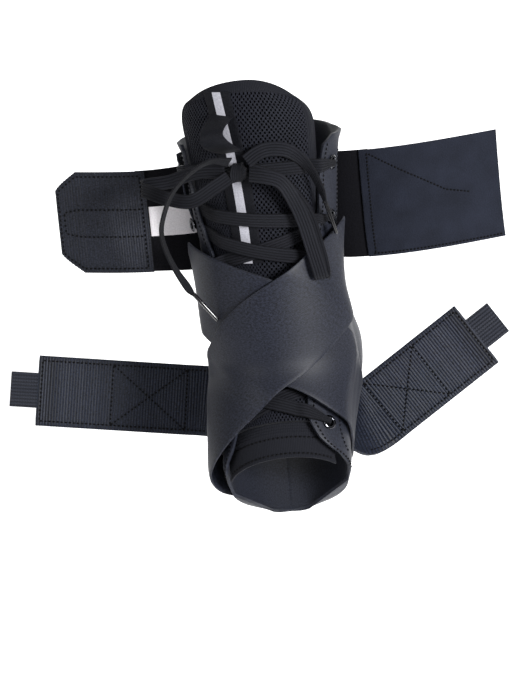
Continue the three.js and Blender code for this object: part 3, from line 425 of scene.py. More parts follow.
softCloth = {"Sheen Weight": 0.05, "Sheen Roughness": 0.35, "Specular IOR Level": 0.2}
plainCloth = {"Sheen Weight": 0.02, "Sheen Roughness": 0.5, "Specular IOR Level": 0.08}
napCloth = {"Sheen Weight": 0.12, "Sheen Roughness": 0.35, "Specular IOR Level": 0.15}
braceCloth = newMaterial("braceCloth", "090a0f", "242733", 0.48, softCloth,
                         settings={"Threads": 1400.0, "Uneven": 0.35}, bump=0.25)
quarterCloth = newMaterial("quarterCloth", "0e0f14", "272a35", 0.5, softCloth,
                           settings={"Threads": 1400.0, "Uneven": 0.35}, bump=0.25)
# The braided lace, tab and rim materials carry the braid's painted shade in the grooves
laceBraid = newMaterial("laceBraid", "040405", "202127", 0.7, plainCloth, group=braidGroup,
                        settings={"Cords": 555.0}, bump=0.9, depth=0.0006)
# Painted shade: the webbing's colour is darkened in the valleys between its ribs
webbingWeave = newMaterial("webbingWeave", "020307", "242a3a", 0.5, softCloth,
                           settings={"Threads": 1100.0, "Uneven": 0.3, "Ribs": 500.0, "Rib Valley Shade": 0.9},
                           bump=0.45)
tabWeave = newMaterial("tabWeave", "090a0f", "282b35", 0.6, softCloth, group=braidGroup,
                       settings={"Cords": 420.0, "Slant": 300.0}, bump=1.0, depth=0.0008)
meshKnit = newMaterial("meshKnit", "0b0b10", "23252d", 0.7, plainCloth,
                       settings={"Threads": 1300.0, "Uneven": 0.3}, bump=0.5)
# Painted shade: near-black hole bottoms for the shade down in the mesh's pits
meshHoleShade = newMaterial("meshHoleShade", "010101", "040405", 0.95, {"Specular IOR Level": 0.05},
                       settings={"Uneven": 0.2}, bump=0.2)
rimKnit = newMaterial("rimKnit", "090a0e", "202127", 0.8, plainCloth, group=braidGroup,
                      settings={"Cords": 900.0, "Slant": 900.0}, bump=0.7, depth=0.0003)
# Velour and loop pile carry the nap's painted sheen
velour = newMaterial("velour", "030408", "232734", 0.85, napCloth, group=napGroup, bump=0.5, depth=0.0004)
loopPile = newMaterial("loopPile", "08090d", "343742", 0.95, {**napCloth, "Sheen Roughness": 0.4},
                       group=napGroup, settings={"Pile": 700.0}, bump=0.9, depth=0.0008)
cuffElastic = newMaterial("cuffElastic", "060609", "131318", 0.7, plainCloth,
                          settings={"Threads": 1200.0, "Uneven": 0.25}, bump=0.3)
# Painted shade: the hook cloth's colour is darkened in the valleys between its ribs
hookWeave = newMaterial("hookWeave", "010103", "242835", 0.55, softCloth,
                        settings={"Threads": 1500.0, "Uneven": 0.3, "Ribs": 625.0, "Rib Valley Shade": 1.0},
                        bump=0.4)
threadBlack = newMaterial("threadBlack", "020203", "08080a", 0.5, plainCloth, coords="Object",
                          settings={"Uneven": 0.2}, bump=0.2)
labelSatin = newMaterial("labelSatin", "e6e2e6", "faf6fa", 0.5, plainCloth,
                         settings={"Threads": 2200.0, "Uneven": 0.2}, bump=0.15,
                         mask=(1, 0.031, 1, "24252b", "33343a"))
blackNickel = newMaterial("blackNickel", "2a2b30", "55565c", 0.14, {"Metallic": 1.0, "Coat Weight": 0.3},
                          coords="Object", settings={"Uneven": 0.5}, bump=0.03)
agletGloss = newMaterial("agletGloss", "050507", "0d0d11", 0.16, {"Coat Weight": 0.6, "Coat Roughness": 0.1},
                         coords="Object", settings={"Uneven": 0.3}, bump=0.04)
loopRibbon = newMaterial("loopRibbon", "060609", "1a1b21", 0.45, plainCloth,
                         settings={"Threads": 1500.0, "Uneven": 0.25}, bump=0.35)
ribbonCloth = newMaterial("ribbonCloth", "08080c", "17181d", 0.6, plainCloth,
                          settings={"Threads": 1500.0, "Uneven": 0.25}, bump=0.35,
                          mask=(0, 0.0057, 0.0113, "93939c", "b2b2ba"))
floorPaint = newMaterial("floorPaint", "f1f1f2", "fafafb", 0.9, {"Specular IOR Level": 0.1}, coords="Object",
                         settings={"Uneven": 0.02}, bump=0.0)
floorSkin = floorPaint.node_tree.nodes["Principled BSDF"]
floorSkin.inputs["Emission Color"].default_value = (1, 1, 1, 1)
floorSkin.inputs["Emission Strength"].default_value = studio["floorGlow"]
floor.data.materials.append(floorPaint)
print("materials mixed")


# Helpers that make pieces from a surface given across and along
def selectOnly(piece):
    bpy.ops.object.select_all(action="DESELECT")
    piece.select_set(True)
    bpy.context.view_layer.objects.active = piece


def addModifier(piece, name, kind, **settings):
    made = piece.modifiers.new(name, kind)
    for key, value in settings.items():
        setattr(made, key, value)


def addBevel(piece, width, segments, degrees):
    addModifier(piece, "edge", "BEVEL", width=width, segments=segments, limit_method="ANGLE",
                angle_limit=math.radians(degrees))


def applyAll(piece):
    selectOnly(piece)
    for modifier in list(piece.modifiers):
        bpy.ops.object.modifier_apply(modifier=modifier.name)


def settle(piece, slot, *nodes):
    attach(piece, "root")
    if nodes:
        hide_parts(*nodes)
    return piece


def newGrid(name, rows, columns, at, flat):
    bpy.ops.mesh.primitive_grid_add(x_subdivisions=columns, y_subdivisions=rows, size=1)
    piece = bpy.context.object
    piece.name = name
    mesh = piece.data
    flatPlaces = np.empty(len(mesh.vertices) * 3)
    mesh.vertices.foreach_get("co", flatPlaces)
    share = flatPlaces.reshape(-1, 3)[:, :2] + 0.5
    share[:, 1] = 1 - share[:, 1]  # rows run from the top of a piece down
    mesh.vertices.foreach_set("co", (at(share[:, 0], share[:, 1], 0.0) * 0.001).ravel())
    corners = np.empty(len(mesh.loops), dtype=int)
    mesh.loops.foreach_get("vertex_index", corners)
    mesh.uv_layers[0].data.foreach_set("uv", (share[corners] * np.array(flat) * 0.001).ravel())
    mesh.update()
    return piece


def newSheet(name, rows, columns, at, wall, flat, material, edge=0.3, fine=True):
    piece = newGrid(name, rows, columns, at, flat)
    addModifier(piece, "wall", "SOLIDIFY", thickness=wall * 0.001, offset=0)
    addBevel(piece, edge * 0.001, 2 if fine else 1, 50)
    applyAll(piece)
    bpy.ops.object.shade_smooth_by_angle(angle=math.radians(45))
    piece.data.materials.append(material)
    return piece


def lengthOf(points):
    return float(np.linalg.norm(np.diff(points, axis=0), axis=1).sum())


def ribbonAt(points, wides, widths, crown=0.0, ribs=None):
    ahead = unit(np.gradient(points, axis=0))
    edge = unit(wides - ahead * (wides * ahead).sum(1, keepdims=True))
    out = np.cross(ahead, edge)
    last = len(points) - 1

    def at(u, v, lift=0.0):
        place = np.clip(v * last, 0, last)
        i = np.minimum(place.astype(int), last - 1)
        t = (place - i)[:, None]
        middle, sideDir, normal = (a[i] * (1 - t) + a[i + 1] * t for a in (points, edge, out))
        width = widths[i] * (1 - t[:, 0]) + widths[i + 1] * t[:, 0]
        high = crown * (1 - (2 * u - 1) ** 2) + lift + (ribs(u, v) if ribs and np.all(lift == 0) else 0)
        sidestep = sideDir * ((u - 0.5) * width)[:, None]
        return middle + sidestep + normal * np.broadcast_to(high, u.shape)[:, None]
    return at


# One stitch, modelled once and repeated along every seam
stitch = {"length": 2.1, "radius": 0.24, "pitch": 2.9}
bpy.ops.mesh.primitive_cylinder_add(vertices=6, radius=stitch["radius"], depth=stitch["length"] * 0.7,
                                    end_fill_type="NGON", rotation=(0, math.pi / 2, 0))
stitchShape = bpy.context.object
bpy.ops.object.transform_apply(rotation=True)
bpy.ops.object.mode_set(mode="EDIT")
bpy.ops.mesh.select_all(action="DESELECT")
bpy.ops.object.mode_set(mode="OBJECT")
for face in stitchShape.data.polygons:
    face.select = len(face.vertices) == 6
bpy.ops.object.mode_set(mode="EDIT")
bpy.ops.mesh.inset(thickness=stitch["radius"] * 0.5, depth=stitch["length"] * 0.15, use_individual=True)
bpy.ops.object.mode_set(mode="OBJECT")
stitchPoints = np.array([v.co[:] for v in stitchShape.data.vertices])
stitchPoints[:, 1] *= 1.25
stitchPoints[:, 2] -= 0.12 * (stitchPoints[:, 0] / (stitch["length"] / 2)) ** 2  # its ends go into the cloth
stitchFaces = [tuple(f.vertices) for f in stitchShape.data.polygons]
bpy.data.objects.remove(stitchShape)


def sewOn(name, at, lines, lift, pitch=None):  # lines are lists of (across, along) shares of the piece
    pitch = pitch or stitch["pitch"]
    verts, faces = [], []
    for line in lines:
        line = np.array(line, float)
        steps = np.linspace(0, len(line) - 1, max(2, 40 * (len(line) - 1)))
        share = np.stack([np.interp(steps, np.arange(len(line)), line[:, k]) for k in (0, 1)], 1)
        low, high = at(share[:, 0], share[:, 1], lift), at(share[:, 0], share[:, 1], lift + 1.0)
        run = np.concatenate([[0], np.cumsum(np.linalg.norm(np.diff(low, axis=0), axis=1))])
        count = max(1, int(run[-1] / pitch))
        middle = (np.arange(count) + 0.5) * run[-1] / count
        pick = lambda s, a: np.stack([np.interp(s, run, a[:, k]) for k in range(3)], 1)
        centre, normal = pick(middle, low), unit(pick(middle, high - low))
        ahead = unit(pick(middle + 0.6, low) - pick(middle - 0.6, low))
        side = np.cross(normal, ahead)
        for c, a, s, n in zip(centre, ahead, side, normal):
            base = len(verts)
            verts.extend((c + stitchPoints @ np.stack([a, s, n])) * 0.001)
            faces.extend(tuple(base + k for k in f) for f in stitchFaces)
    mesh = bpy.data.meshes.new(name)
    mesh.from_pydata([tuple(v) for v in verts], [], faces)
    piece = bpy.data.objects.new(name, mesh)
    scene.collection.objects.link(piece)
    mesh.materials.append(threadBlack)
    for face in mesh.polygons:
        face.use_smooth = True
    return piece


# Bow loops and free ends of the lace, by the pattern's own points
lace = {"width": 9, "wall": 1, "bunched": 3.6, "steps": 14, "columns": 20, "crown": 0.25, "ribs": 5,
        "ribHeight": 0.22, "edge": 0.35}


def laceRibs(u, v):
    return lace["ribHeight"] * (np.abs(np.sin(np.pi * lace["ribs"] * u)) - 0.6)


bowRoutes = {
    # x, y, z, turn, edge
    "bow_loop_left": [
        (-21.8, 11.9, 134.2, 130, 10), (-32.5, 7.1, 130.5, 128, 0), (-47.5, 4.6, 123, 105, 0),
        (-62.3, 12.3, 120, 88, 0), (-74.5, 21.6, 118.9, 88, 0), (-79.5, 27.8, 116.5, 88, 0),
        (-76.5, 33.7, 114.7, 88, 0), (-61.1, 33.5, 116.4, 90, 0), (-42, 24.3, 130.3, 96, 0),
        (-24.6, 15.8, 136.6, 100, 0)],
    "bow_loop_right": [
        (-8.6, 10, 136.5, 95, 0), (1, 4.5, 138.5, 88, 0), (11, 3, 134.1, 60, 0), (18.4, 1.3, 119, 36, 0),
        (23.7, -5.4, 105.7, 24, 0), (27.7, -13.5, 90.8, 18, 0), (31.5, -23.9, 78, 10, 0),
        (32.5, -24, 72.5, 5, 0), (34, -18.5, 74.5, 10, 0), (31, -9.5, 90, 18, 0), (24.6, 4, 108.3, 28, 0),
        (10, 8.5, 130.5, 55, 0), (-7.6, 14, 136.6, 85, 0)],
    "lace_end_left": [
        (-20.6, 16.6, 142.9, 100, 60), (-33.4, 14, 146.9, 100, 78), (-47, 9.7, 141.8, 120, 82),
        (-59.2, 5, 130.5, 140, 82), (-66.6, 3, 112.5, 160, 82), (-68.9, 1.7, 99.3, 175, 80),
        (-66.8, -2.4, 86.8, 195, 76), (-61.6, -9.2, 75.3, 205, 70), (-54.8, -14, 63.5, 210, 60),
        (-51.2, -16.6, 59.5, 210, 55)],
    "lace_end_right": [
        (-9.8, 17, 142, 115, 10), (-2, 18.5, 147, 110, 0), (6.1, 20.6, 147.5, 95, 0),
        (16.4, 20.5, 145.6, 72, 20), (25, 20.4, 137.5, 48, 45), (31.6, 16.5, 129.2, 30, 62),
        (36.4, 12.4, 118, 20, 68), (39.2, 8.6, 108, 18, 65)],
}
aglet = {"length": 22, "radius": 1.4, "sides": 16, "lap": 0.7, "crimp": 2}


def laceSheet(name, points, at):
    flat = (lace["width"], lengthOf(points))
    return newSheet(name, len(points) - 1, lace["columns"], at, lace["wall"], flat, laceBraid, lace["edge"])


def bowLace(name, route):
    table = np.array(route, float)
    free = name.startswith("lace_end")
    place = np.linspace(0, len(table) - 1, (len(table) - 1) * lace["steps"] + 1)
    rows = rowsAt(table, place)
    turn, edge = np.radians(rows[:, 3:4]), np.radians(rows[:, 4:5])
    wides = (sideways * np.cos(turn) + shinUp * np.sin(turn)) * np.cos(edge) + facing * np.sin(edge)
    ends = 2 * aglet["radius"] if free else lace["width"]
    widths = lace["width"] + (ends - lace["width"]) * smooth(0.85, 1, place / place[-1])
    points = rows[:, :3]
    at = ribbonAt(points, wides, widths, lace["crown"], laceRibs)
    long = lengthOf(points)
    piece = laceSheet(name.replace("_", "-"), points, at)
    settle(piece, "lace", name)
    if free:
        ahead = unit(table[-1, :3] - table[-2, :3])
        middle = table[-1, :3] + ahead * (aglet["length"] / 2 - aglet["lap"])
        bpy.ops.mesh.primitive_cylinder_add(vertices=aglet["sides"], radius=aglet["radius"] * 0.001,
                                            depth=(aglet["length"] + aglet["crimp"]) * 0.001)
        tip = bpy.context.object
        tip.name = name.replace("lace_end", "aglet").replace("_", "-")
        addBevel(tip, 0.0005, 3, 60)
        applyAll(tip)
        lean = Vector((0, 0, 1)).rotation_difference(Vector(ahead)).to_matrix().to_4x4()
        tip.data.transform(Matrix.Translation(Vector(middle) * 0.001) @ lean)
        bpy.ops.object.shade_smooth_by_angle(angle=math.radians(50))
        tip.data.materials.append(agletGloss)
        settle(tip, "aglet", name.replace("lace_end", "aglet"))


for name, route in bowRoutes.items():
    bowLace(name, route)
print("bow tied")

# Tongue: padded air mesh with staggered holes, inside a plain knitted rim
tongue = {"rise": 190, "fall": 42, "crown": 42, "narrowing": 0.3, "droop": 0.36, "low": 0.2, "holeRows": 122,
          "holeColumns": 78, "middle": 0.57, "rim": 7.5, "pad": 0.7, "wall": 2.2, "groove": 0.7,
          "edgeDrop": 1.7, "strand": 0.1, "lip": 0.08, "holeDepth": 1}


def tongueFlare(down, across):  # the inner half widens towards the top
    return np.where(across < 0, 1 + layer["flare"] * (1 - smooth(0, 0.45, down)), 1)


def tongueSpot(down, across):
    along = tongue["rise"] - (tongue["fall"] + tongue["rise"]) * down
    crown = np.maximum(0, (along - tongue["rise"] + tongue["crown"]) / tongue["crown"])
    narrow = 1 - tongue["narrowing"] * crown ** 3 - tongue["low"] * smooth(0.5, 0.85, down)
    wide = layer["tongueHalf"] * across * tongueFlare(down, across) * narrow
    around = wide - layer["shift"] * layer["tongueHalf"]
    return along - tongue["droop"] * tongue["crown"] * crown * across * across, around


def tongueEdgeDistance(down, across):
    halfWide = layer["tongueHalf"] * tongueFlare(down, across)
    return np.minimum((1 - np.abs(across)) * halfWide, down * (tongue["fall"] + tongue["rise"]))


def tongueAcross(u):  # more columns on the wider inner half, so that the holes are alike
    middle = tongue["middle"]
    return np.where(u < middle, u / middle - 1, (u - middle) / (1 - middle))


def tongueAt(u, v, lift=0.0):
    across = tongueAcross(u)
    along, around = tongueSpot(v, across)
    fromEdge = tongueEdgeDistance(v, across)
    groove = tongue["groove"] * np.exp(-((fromEdge - tongue["rim"]) / 1.1) ** 2)
    height = tongueTop + tongue["pad"] - tongue["edgeDrop"] * (1 - smooth(0, 6, fromEdge)) - groove
    return lifted(along, around, height + lift)


tonguePad = newGrid("tonguePad", tongue["holeRows"], tongue["holeColumns"], tongueAt,
                    (2 * layer["tongueHalf"], tongue["rise"] + tongue["fall"]))
frontUp = tonguePad.data.polygons[0].normal.dot(Vector(facing)) > 0
addModifier(tonguePad, "pad", "SOLIDIFY", thickness=tongue["wall"] * 0.001, offset=-1 if frontUp else 1)
applyAll(tonguePad)
for material in (meshKnit, rimKnit, meshHoleShade):
    tonguePad.data.materials.append(material)
holes = []
count = tongue["holeRows"] * tongue["holeColumns"]
for face in list(tonguePad.data.polygons)[:count]:
    corner = np.mean([tonguePad.data.uv_layers[0].data[k].uv[:] for k in face.loop_indices], axis=0) * 1000
    u, v = corner[0] / (2 * layer["tongueHalf"]), corner[1] / (tongue["rise"] + tongue["fall"])
    i, j = int(u * tongue["holeColumns"]), int(v * tongue["holeRows"])
    if tongueEdgeDistance(v, tongueAcross(u)) < tongue["rim"] + 1:
        face.material_index = 1
    elif (i + j) % 2:
        holes.append(face.index)
for face in tonguePad.data.polygons:
    if face.index >= count:
        face.material_index = 1
selectOnly(tonguePad)
scene.tool_settings.mesh_select_mode = (False, False, True)
bpy.ops.object.mode_set(mode="EDIT")
bpy.ops.mesh.select_all(action="DESELECT")
bpy.ops.object.mode_set(mode="OBJECT")
for index in holes:
    tonguePad.data.polygons[index].select = True
bpy.ops.object.mode_set(mode="EDIT")
bpy.ops.mesh.inset(thickness=tongue["strand"] * 0.001, depth=0, use_individual=True)
bpy.ops.mesh.inset(thickness=tongue["lip"] * 0.001, depth=-tongue["holeDepth"] * 0.001, use_individual=True)
bpy.ops.object.mode_set(mode="OBJECT")
scene.tool_settings.mesh_select_mode = (True, False, False)
# The hole bottoms take the painted shade material
for face in tonguePad.data.polygons:
    if face.select:
        face.material_index = 2
bpy.ops.object.shade_smooth_by_angle(angle=math.radians(30))
settle(tonguePad, "tongue", "tongue")
print("tongue knitted, with", len(holes), "holes")

# Toe band: ribbed elastic, then plain cloth and a thin binding
toeBand = {"end": 66, "half": 40, "wall": 1.6, "elastic": 0.36, "ribs": 4.5, "rows": 64, "columns": 30}


def toeBandAt(u, v, lift=0.0):
    top = tongue["fall"] + layer["gap"]
    along = -top - (toeBand["end"] - top) * v
    around = toeBand["half"] * (2 * u - 1) - layer["shift"] * layer["tongueHalf"]
    ribbed = 0.3 * np.abs(np.sin(np.pi * toeBand["ribs"] * v / toeBand["elastic"])) * (v < toeBand["elastic"])
    seam = -0.35 * np.exp(-((v - toeBand["elastic"]) / 0.03) ** 2)
    binding = 0.45 * smooth(0.9, 0.93, v)
    return lifted(along, around, layer["gap"] + toeBand["wall"] / 2 + ribbed + seam + binding + lift)


toeCloth = newSheet("toeBand", toeBand["rows"], toeBand["columns"], toeBandAt, toeBand["wall"] - 0.4,
                    (2 * toeBand["half"], toeBand["end"] - tongue["fall"]), rimKnit)
settle(toeCloth, "toe_band", "tongue_toe_band")
toeSeam = sewOn("toeSeam", toeBandAt, [[(0.04, 0.42), (0.96, 0.42)], [(0.03, 0.88), (0.97, 0.88)]],
                toeBand["wall"] / 2 - 0.1)
settle(toeSeam, "toe_band")

# Quarters: the two halves of the body, open at the heel
quarter = {"rows": 90, "columns": 34, "openRise": 24, "openFall": 28, "openReach": 50, "seam": 0.25,
           "lap": 0.15}


def heelEdge(along):
    reach = np.where(along > 0, quarter["openRise"], quarter["openFall"])
    share = np.minimum(np.abs(along) / reach, 1)
    return quarter["openReach"] * np.sqrt(1 - share * share)


def quarterAt(side):
    def at(u, v, lift=0.0):
        along = layer["rise"] - (layer["rise"] + layer["fall"]) * v
        girth = halfGirth(along)
        front = np.minimum(gapAt(along, side), girth - 4 * quarter["seam"])
        opening = heelEdge(along)
        back = girth - np.where(opening > quarter["seam"], opening, -quarter["lap"])
        around = front + (back - front) * u
        folded = 0.35 * smooth(0, 3, around - front) - 0.35
        middle = quarterUnder(along, around) + layer["quarter"] / 2
        return lifted(along, side * around, middle + folded + lift)
    return at


# Eyelets: a rolled ring on each hole
eyelet = {"perSide": 7, "top": 128, "topPitch": 36, "pitch": 27, "barrel": 3.2, "sides": 40, "sheet": 0.3}
ringSteps = [
    # radius, height
    (2.6, -2.4), (2.6, 0.9), (2.75, 1.35), (3.2, 1.6), (3.9, 1.55), (4.5, 1.25), (4.9, 0.95), (4.75, 0.85),
]
bpy.ops.mesh.primitive_circle_add(vertices=eyelet["sides"], radius=ringSteps[0][0],
                                  location=(0, 0, ringSteps[0][1]))
ringShape = bpy.context.object
bpy.ops.object.mode_set(mode="EDIT")
bpy.ops.mesh.select_all(action="SELECT")
for (r0, z0), (r1, z1) in zip(ringSteps, ringSteps[1:]):
    bpy.ops.mesh.extrude_region_move(TRANSFORM_OT_translate={"value": (0, 0, z1 - z0)})
    bpy.ops.transform.resize(value=(r1 / r0, r1 / r0, 1))
bpy.ops.mesh.select_all(action="SELECT")
bpy.ops.mesh.normals_make_consistent(inside=False)
bpy.ops.object.mode_set(mode="OBJECT")
bpy.ops.object.transform_apply(location=True)
addModifier(ringShape, "wall", "SOLIDIFY", thickness=eyelet["sheet"], offset=-1)
applyAll(ringShape)


def eyeletSpot(side, number):
    down = eyelet["topPitch"] + (number - 1) * eyelet["pitch"] if number else 0
    along = eyelet["top"] - down
    return float(along), float(side * (gapAt(along, side) + layer["inset"]))


def spotFrame(along, around, lift):
    up, _, out = slopes(np.array([along]), np.array([around]))
    across = unit(np.cross(up, out))
    upright = np.cross(out, across)
    centre = lifted(np.array([along]), np.array([around]), np.array([lift]))[0] * 0.001
    turnedTo = Matrix([list(c) for c in (across[0], upright[0], out[0])]).transposed().to_4x4()
    return Matrix.Translation(Vector(centre)) @ turnedTo


sides = [("left", -1), ("right", 1)]
for sideName, side in sides:
    at = quarterAt(side)
    cloth = newGrid(f"quarter-{sideName}", quarter["rows"], quarter["columns"], at,
                    (110, layer["rise"] + layer["fall"]))
    addModifier(cloth, "wall", "SOLIDIFY", thickness=layer["quarter"] * 0.001, offset=0)
    applyAll(cloth)
    for number in range(eyelet["perSide"]):
        along, around = eyeletSpot(side, number)
        under = float(quarterUnder(np.array([along]), np.array([around]))[0])
        bpy.ops.mesh.primitive_cylinder_add(vertices=28, radius=(eyelet["barrel"] + 0.2) * 0.001, depth=0.012)
        punch = bpy.context.object
        punch.data.transform(spotFrame(along, around, under + layer["quarter"] / 2))
        selectOnly(cloth)
        addModifier(cloth, "hole", "BOOLEAN", object=punch, solver="EXACT")
        bpy.ops.object.modifier_apply(modifier="hole")
        bpy.data.objects.remove(punch)
        ring = ringShape.copy()
        ring.data = ringShape.data.copy()
        ring.name = f"eyelet-{sideName}-{number + 1}"
        scene.collection.objects.link(ring)
        ring.data.transform(spotFrame(along, around, under + layer["quarter"]) @ Matrix.Scale(0.001, 4))
        ring.data.materials.append(blackNickel)
        for face in ring.data.polygons:
            face.use_smooth = True
        settle(ring, "eyelet", f"eyelet_{sideName}_{number + 1}")
    addBevel(cloth, 0.0005, 2, 50)
    applyAll(cloth)
    bpy.ops.object.shade_smooth_by_angle(angle=math.radians(45))
    cloth.data.materials.append(quarterCloth)
    settle(cloth, "quarter", f"quarter_{sideName}")
    borders = [[(0.025, 0.02 + 0.96 * k / 40) for k in range(41)],
               [(0.17, 0.05 + 0.9 * k / 40) for k in range(41)]]
    seams = sewOn(f"quarterSeams-{sideName}", at, borders, layer["quarter"] / 2)
    settle(seams, "quarter")
bpy.data.objects.remove(ringShape)
print("quarters cut and eyelets pressed")

# Crossed laces, one piece for each run from eyelet to eyelet
lacing = {"steps": 44, "bend": 5, "tuck": 4, "topDrop": 24}


def overQuarter(along, around):
    return quarterTop(along, around) + layer["seat"] + layer["flangeWall"] + 2 * layer["gap"]


def makePass(name, side, fromSpot, toSpot, rests, node):
    share = np.linspace(0, 1, lacing["steps"] + 1)
    along = fromSpot[0] + (toSpot[0] - fromSpot[0]) * share
    around = fromSpot[1] + (toSpot[1] - fromSpot[1]) * share
    onQuarter = smooth(-lacing["bend"], 0, side * around - gapAt(along, side) + 2)
    low = rests(share)
    lift = low + (overQuarter(along, around) + layer["lace"] / 2 - low) * onQuarter
    points = lifted(along, around, lift)
    widths = lace["bunched"] + (lace["width"] - lace["bunched"]) * smooth(0, 0.25, share)
    at = ribbonAt(points, slopes(along, around)[0], widths, -lace["crown"], laceRibs)
    piece = laceSheet(name, points, at)
    settle(piece, "lace", node)


ribbon = {"wall": 0.6, "rows": [(1.0, -0.56), (0.7, -0.38), (0.5, -0.31), (0.36, -0.29)], "top": 0.06,
          "width": 17, "length": 118, "lift": 0.45}
for number in range(1, eyelet["perSide"]):
    for sideName, side, upper in (("right", 1, True), ("left", -1, False)):
        if number == 1 and side < 0:
            continue
        start = eyeletSpot(side, number)
        nextUp = eyeletSpot(-side, number - 1)[0] - (3 if number > 1 else lacing["topDrop"])
        end = (nextUp, -side * (float(gapAt(nextUp, -side)) + lacing["tuck"]))
        over = ribbon["wall"] + layer["gap"] + (layer["lace"] + layer["laceRoom"] if upper else 0)
        base = tongueTop + 2.5 * layer["gap"] + layer["lace"] / 2
        rest = lambda share, base=base, over=over: base + over * (1 - smooth(0.76, 0.92, share))
        makePass(f"lace-{sideName}-{number + 1}", side, start, end, rest,
                 f"lace_pass_{sideName}_{number + 1}")

# Knot: a bundle with one wrap over it
knot = {"rise": 131, "width": 15, "height": 14, "depth": 9}
knotAround = -0.3 * layer["tongueHalf"]
knotLift = tongueTop + ribbon["wall"] + 2 * layer["gap"] + knot["depth"] / 2
knotFrame = spotFrame(float(knot["rise"]), knotAround, knotLift)
knotBase = tongueTop + ribbon["wall"] + 2 * layer["gap"] + layer["lace"] / 2
for sideName, side in sides:
    end = (knot["rise"], knotAround + side * (knot["width"] / 2 - 1.4))
    rest = lambda share: knotBase + 2 * smooth(0.7, 1, share)
    makePass(f"lace-to-knot-{sideName}", side, eyeletSpot(side, 0), end, rest, f"lace_to_knot_{sideName}")
bpy.ops.mesh.primitive_uv_sphere_add(segments=32, ring_count=20, radius=0.5)
bundle = bpy.context.object
bundle.name = "knotBundle"
for v in bundle.data.vertices:
    folds = 1 + 0.06 * math.cos(9 * v.co.y * math.pi)
    v.co.x *= knot["width"] * folds
    v.co.y *= knot["height"] * 0.8
    v.co.z *= knot["depth"] * 0.82 * folds
bundle.data.transform(knotFrame @ Matrix.Scale(0.001, 4))
selectOnly(bundle)
bpy.ops.object.shade_smooth()
bundle.data.materials.append(laceBraid)
settle(bundle, "lace", "lace_knot")
angle = np.linspace(math.radians(-150), math.radians(150), 41)
wrapLocal = np.stack([0.6 * np.sin(angle), np.sin(angle) * knot["height"] * 0.44,
                      np.cos(angle) * knot["depth"] * 0.5 - 0.1], 1)
turn3 = np.array(knotFrame.to_3x3())
wrapPoints = wrapLocal @ turn3.T + np.array(knotFrame.translation) * 1000
wrapWide = np.repeat([turn3 @ np.array((1.0, 0.12, 0))], len(angle), axis=0)
wrapAt = ribbonAt(wrapPoints, wrapWide, np.full(len(angle), 8.0) - 1.6 * np.abs(np.sin(angle)), 0.5, laceRibs)
wrap = laceSheet("knotWrap", wrapPoints, wrapAt)
settle(wrap, "lace")
print("laces threaded and knotted")

# Ribbon down the tongue and its pull loop
ribbonRows = np.array(ribbon["rows"])


def ribbonSpot(down):
    row = rowsAt(ribbonRows, down * (len(ribbonRows) - 1))
    return row[..., 0] * tongue["rise"], row[..., 1] * layer["tongueHalf"]


def ribbonAtPlace(u, v, lift=0.0):
    along, around = ribbonSpot(ribbon["top"] + (1 - ribbon["top"]) * v)
    high = tongueTop + layer["gap"] + ribbon["wall"] / 2 + ribbon["lift"] + lift
    return lifted(along, around + ribbon["width"] * (u - 0.5), high)


ribbonPiece = newSheet("tongueRibbon", 60, 12, ribbonAtPlace, 0.5, (ribbon["width"], ribbon["length"]),
                       ribbonCloth, 0.15)
settle(ribbonPiece, "ribbon", "tongue_ribbon")
pull = {"top": 168, "foot": 144, "reach": 13, "aside": 4, "steps": 40}
share = np.linspace(0, 1, pull["steps"] + 1)
along = pull["top"] + (pull["foot"] - pull["top"]) * share
_, around = ribbonSpot((tongue["rise"] - along) / (tongue["rise"] * (1 - ribbonRows[-1, 0])))
bow = np.sin(np.pi * share)
up, across, _ = slopes(along, around)
pullHeight = tongueTop + ribbon["wall"] * 1.5 + 7 * layer["gap"] + pull["reach"] * bow
pullPoints = lifted(along, around - pull["aside"] * bow, pullHeight)
pullAt = ribbonAt(pullPoints, across + up * (0.3 * bow)[:, None], np.full(len(share), float(ribbon["width"])))
pullLoop = newSheet("pullLoop", pull["steps"], 12, pullAt, ribbon["wall"],
                    (ribbon["width"], lengthOf(pullPoints)), loopRibbon, 0.15)
settle(pullLoop, "ribbon", "pull_loop")
lengthOf(pullPoints) * 0.001

# Crossed straps: the one on top rises where it meets the other
strap = {"width": 56, "wall": 1.4, "steps": 36, "rows": 150, "columns": 22, "shoulder": 18}
strapRoute = np.array([
    # along, round, back
    (0.9, -0.74, -0.16), (0.69, -0.42, -0.08), (0.42, -0.12, 0), (0.18, 0.05, 0), (-0.04, 0.2, 0.01),
    (-0.3, 0.42, 0.07), (-0.5, 0.72, 0.12), (-0.56, 1.0, 0.15), (-0.54, 1.3, 0.09), (-0.5, 1.54, 0.07),
    (-0.42, 1.8, 0.09), (-0.36, 2.06, 0.11),
])


def strapMiddle(side, share):
    row = rowsAt(strapRoute, share * (len(strapRoute) - 1))
    back = row[..., 2] if side < 0 else 0
    return (row[..., 0] + back) * ankle["high"], -side * row[..., 1] * ankle["width"]


strapMiddles = {side: formPoints(*strapMiddle(side, np.linspace(0, 1, strap["steps"] + 1)))
                for side in (1, -1)}


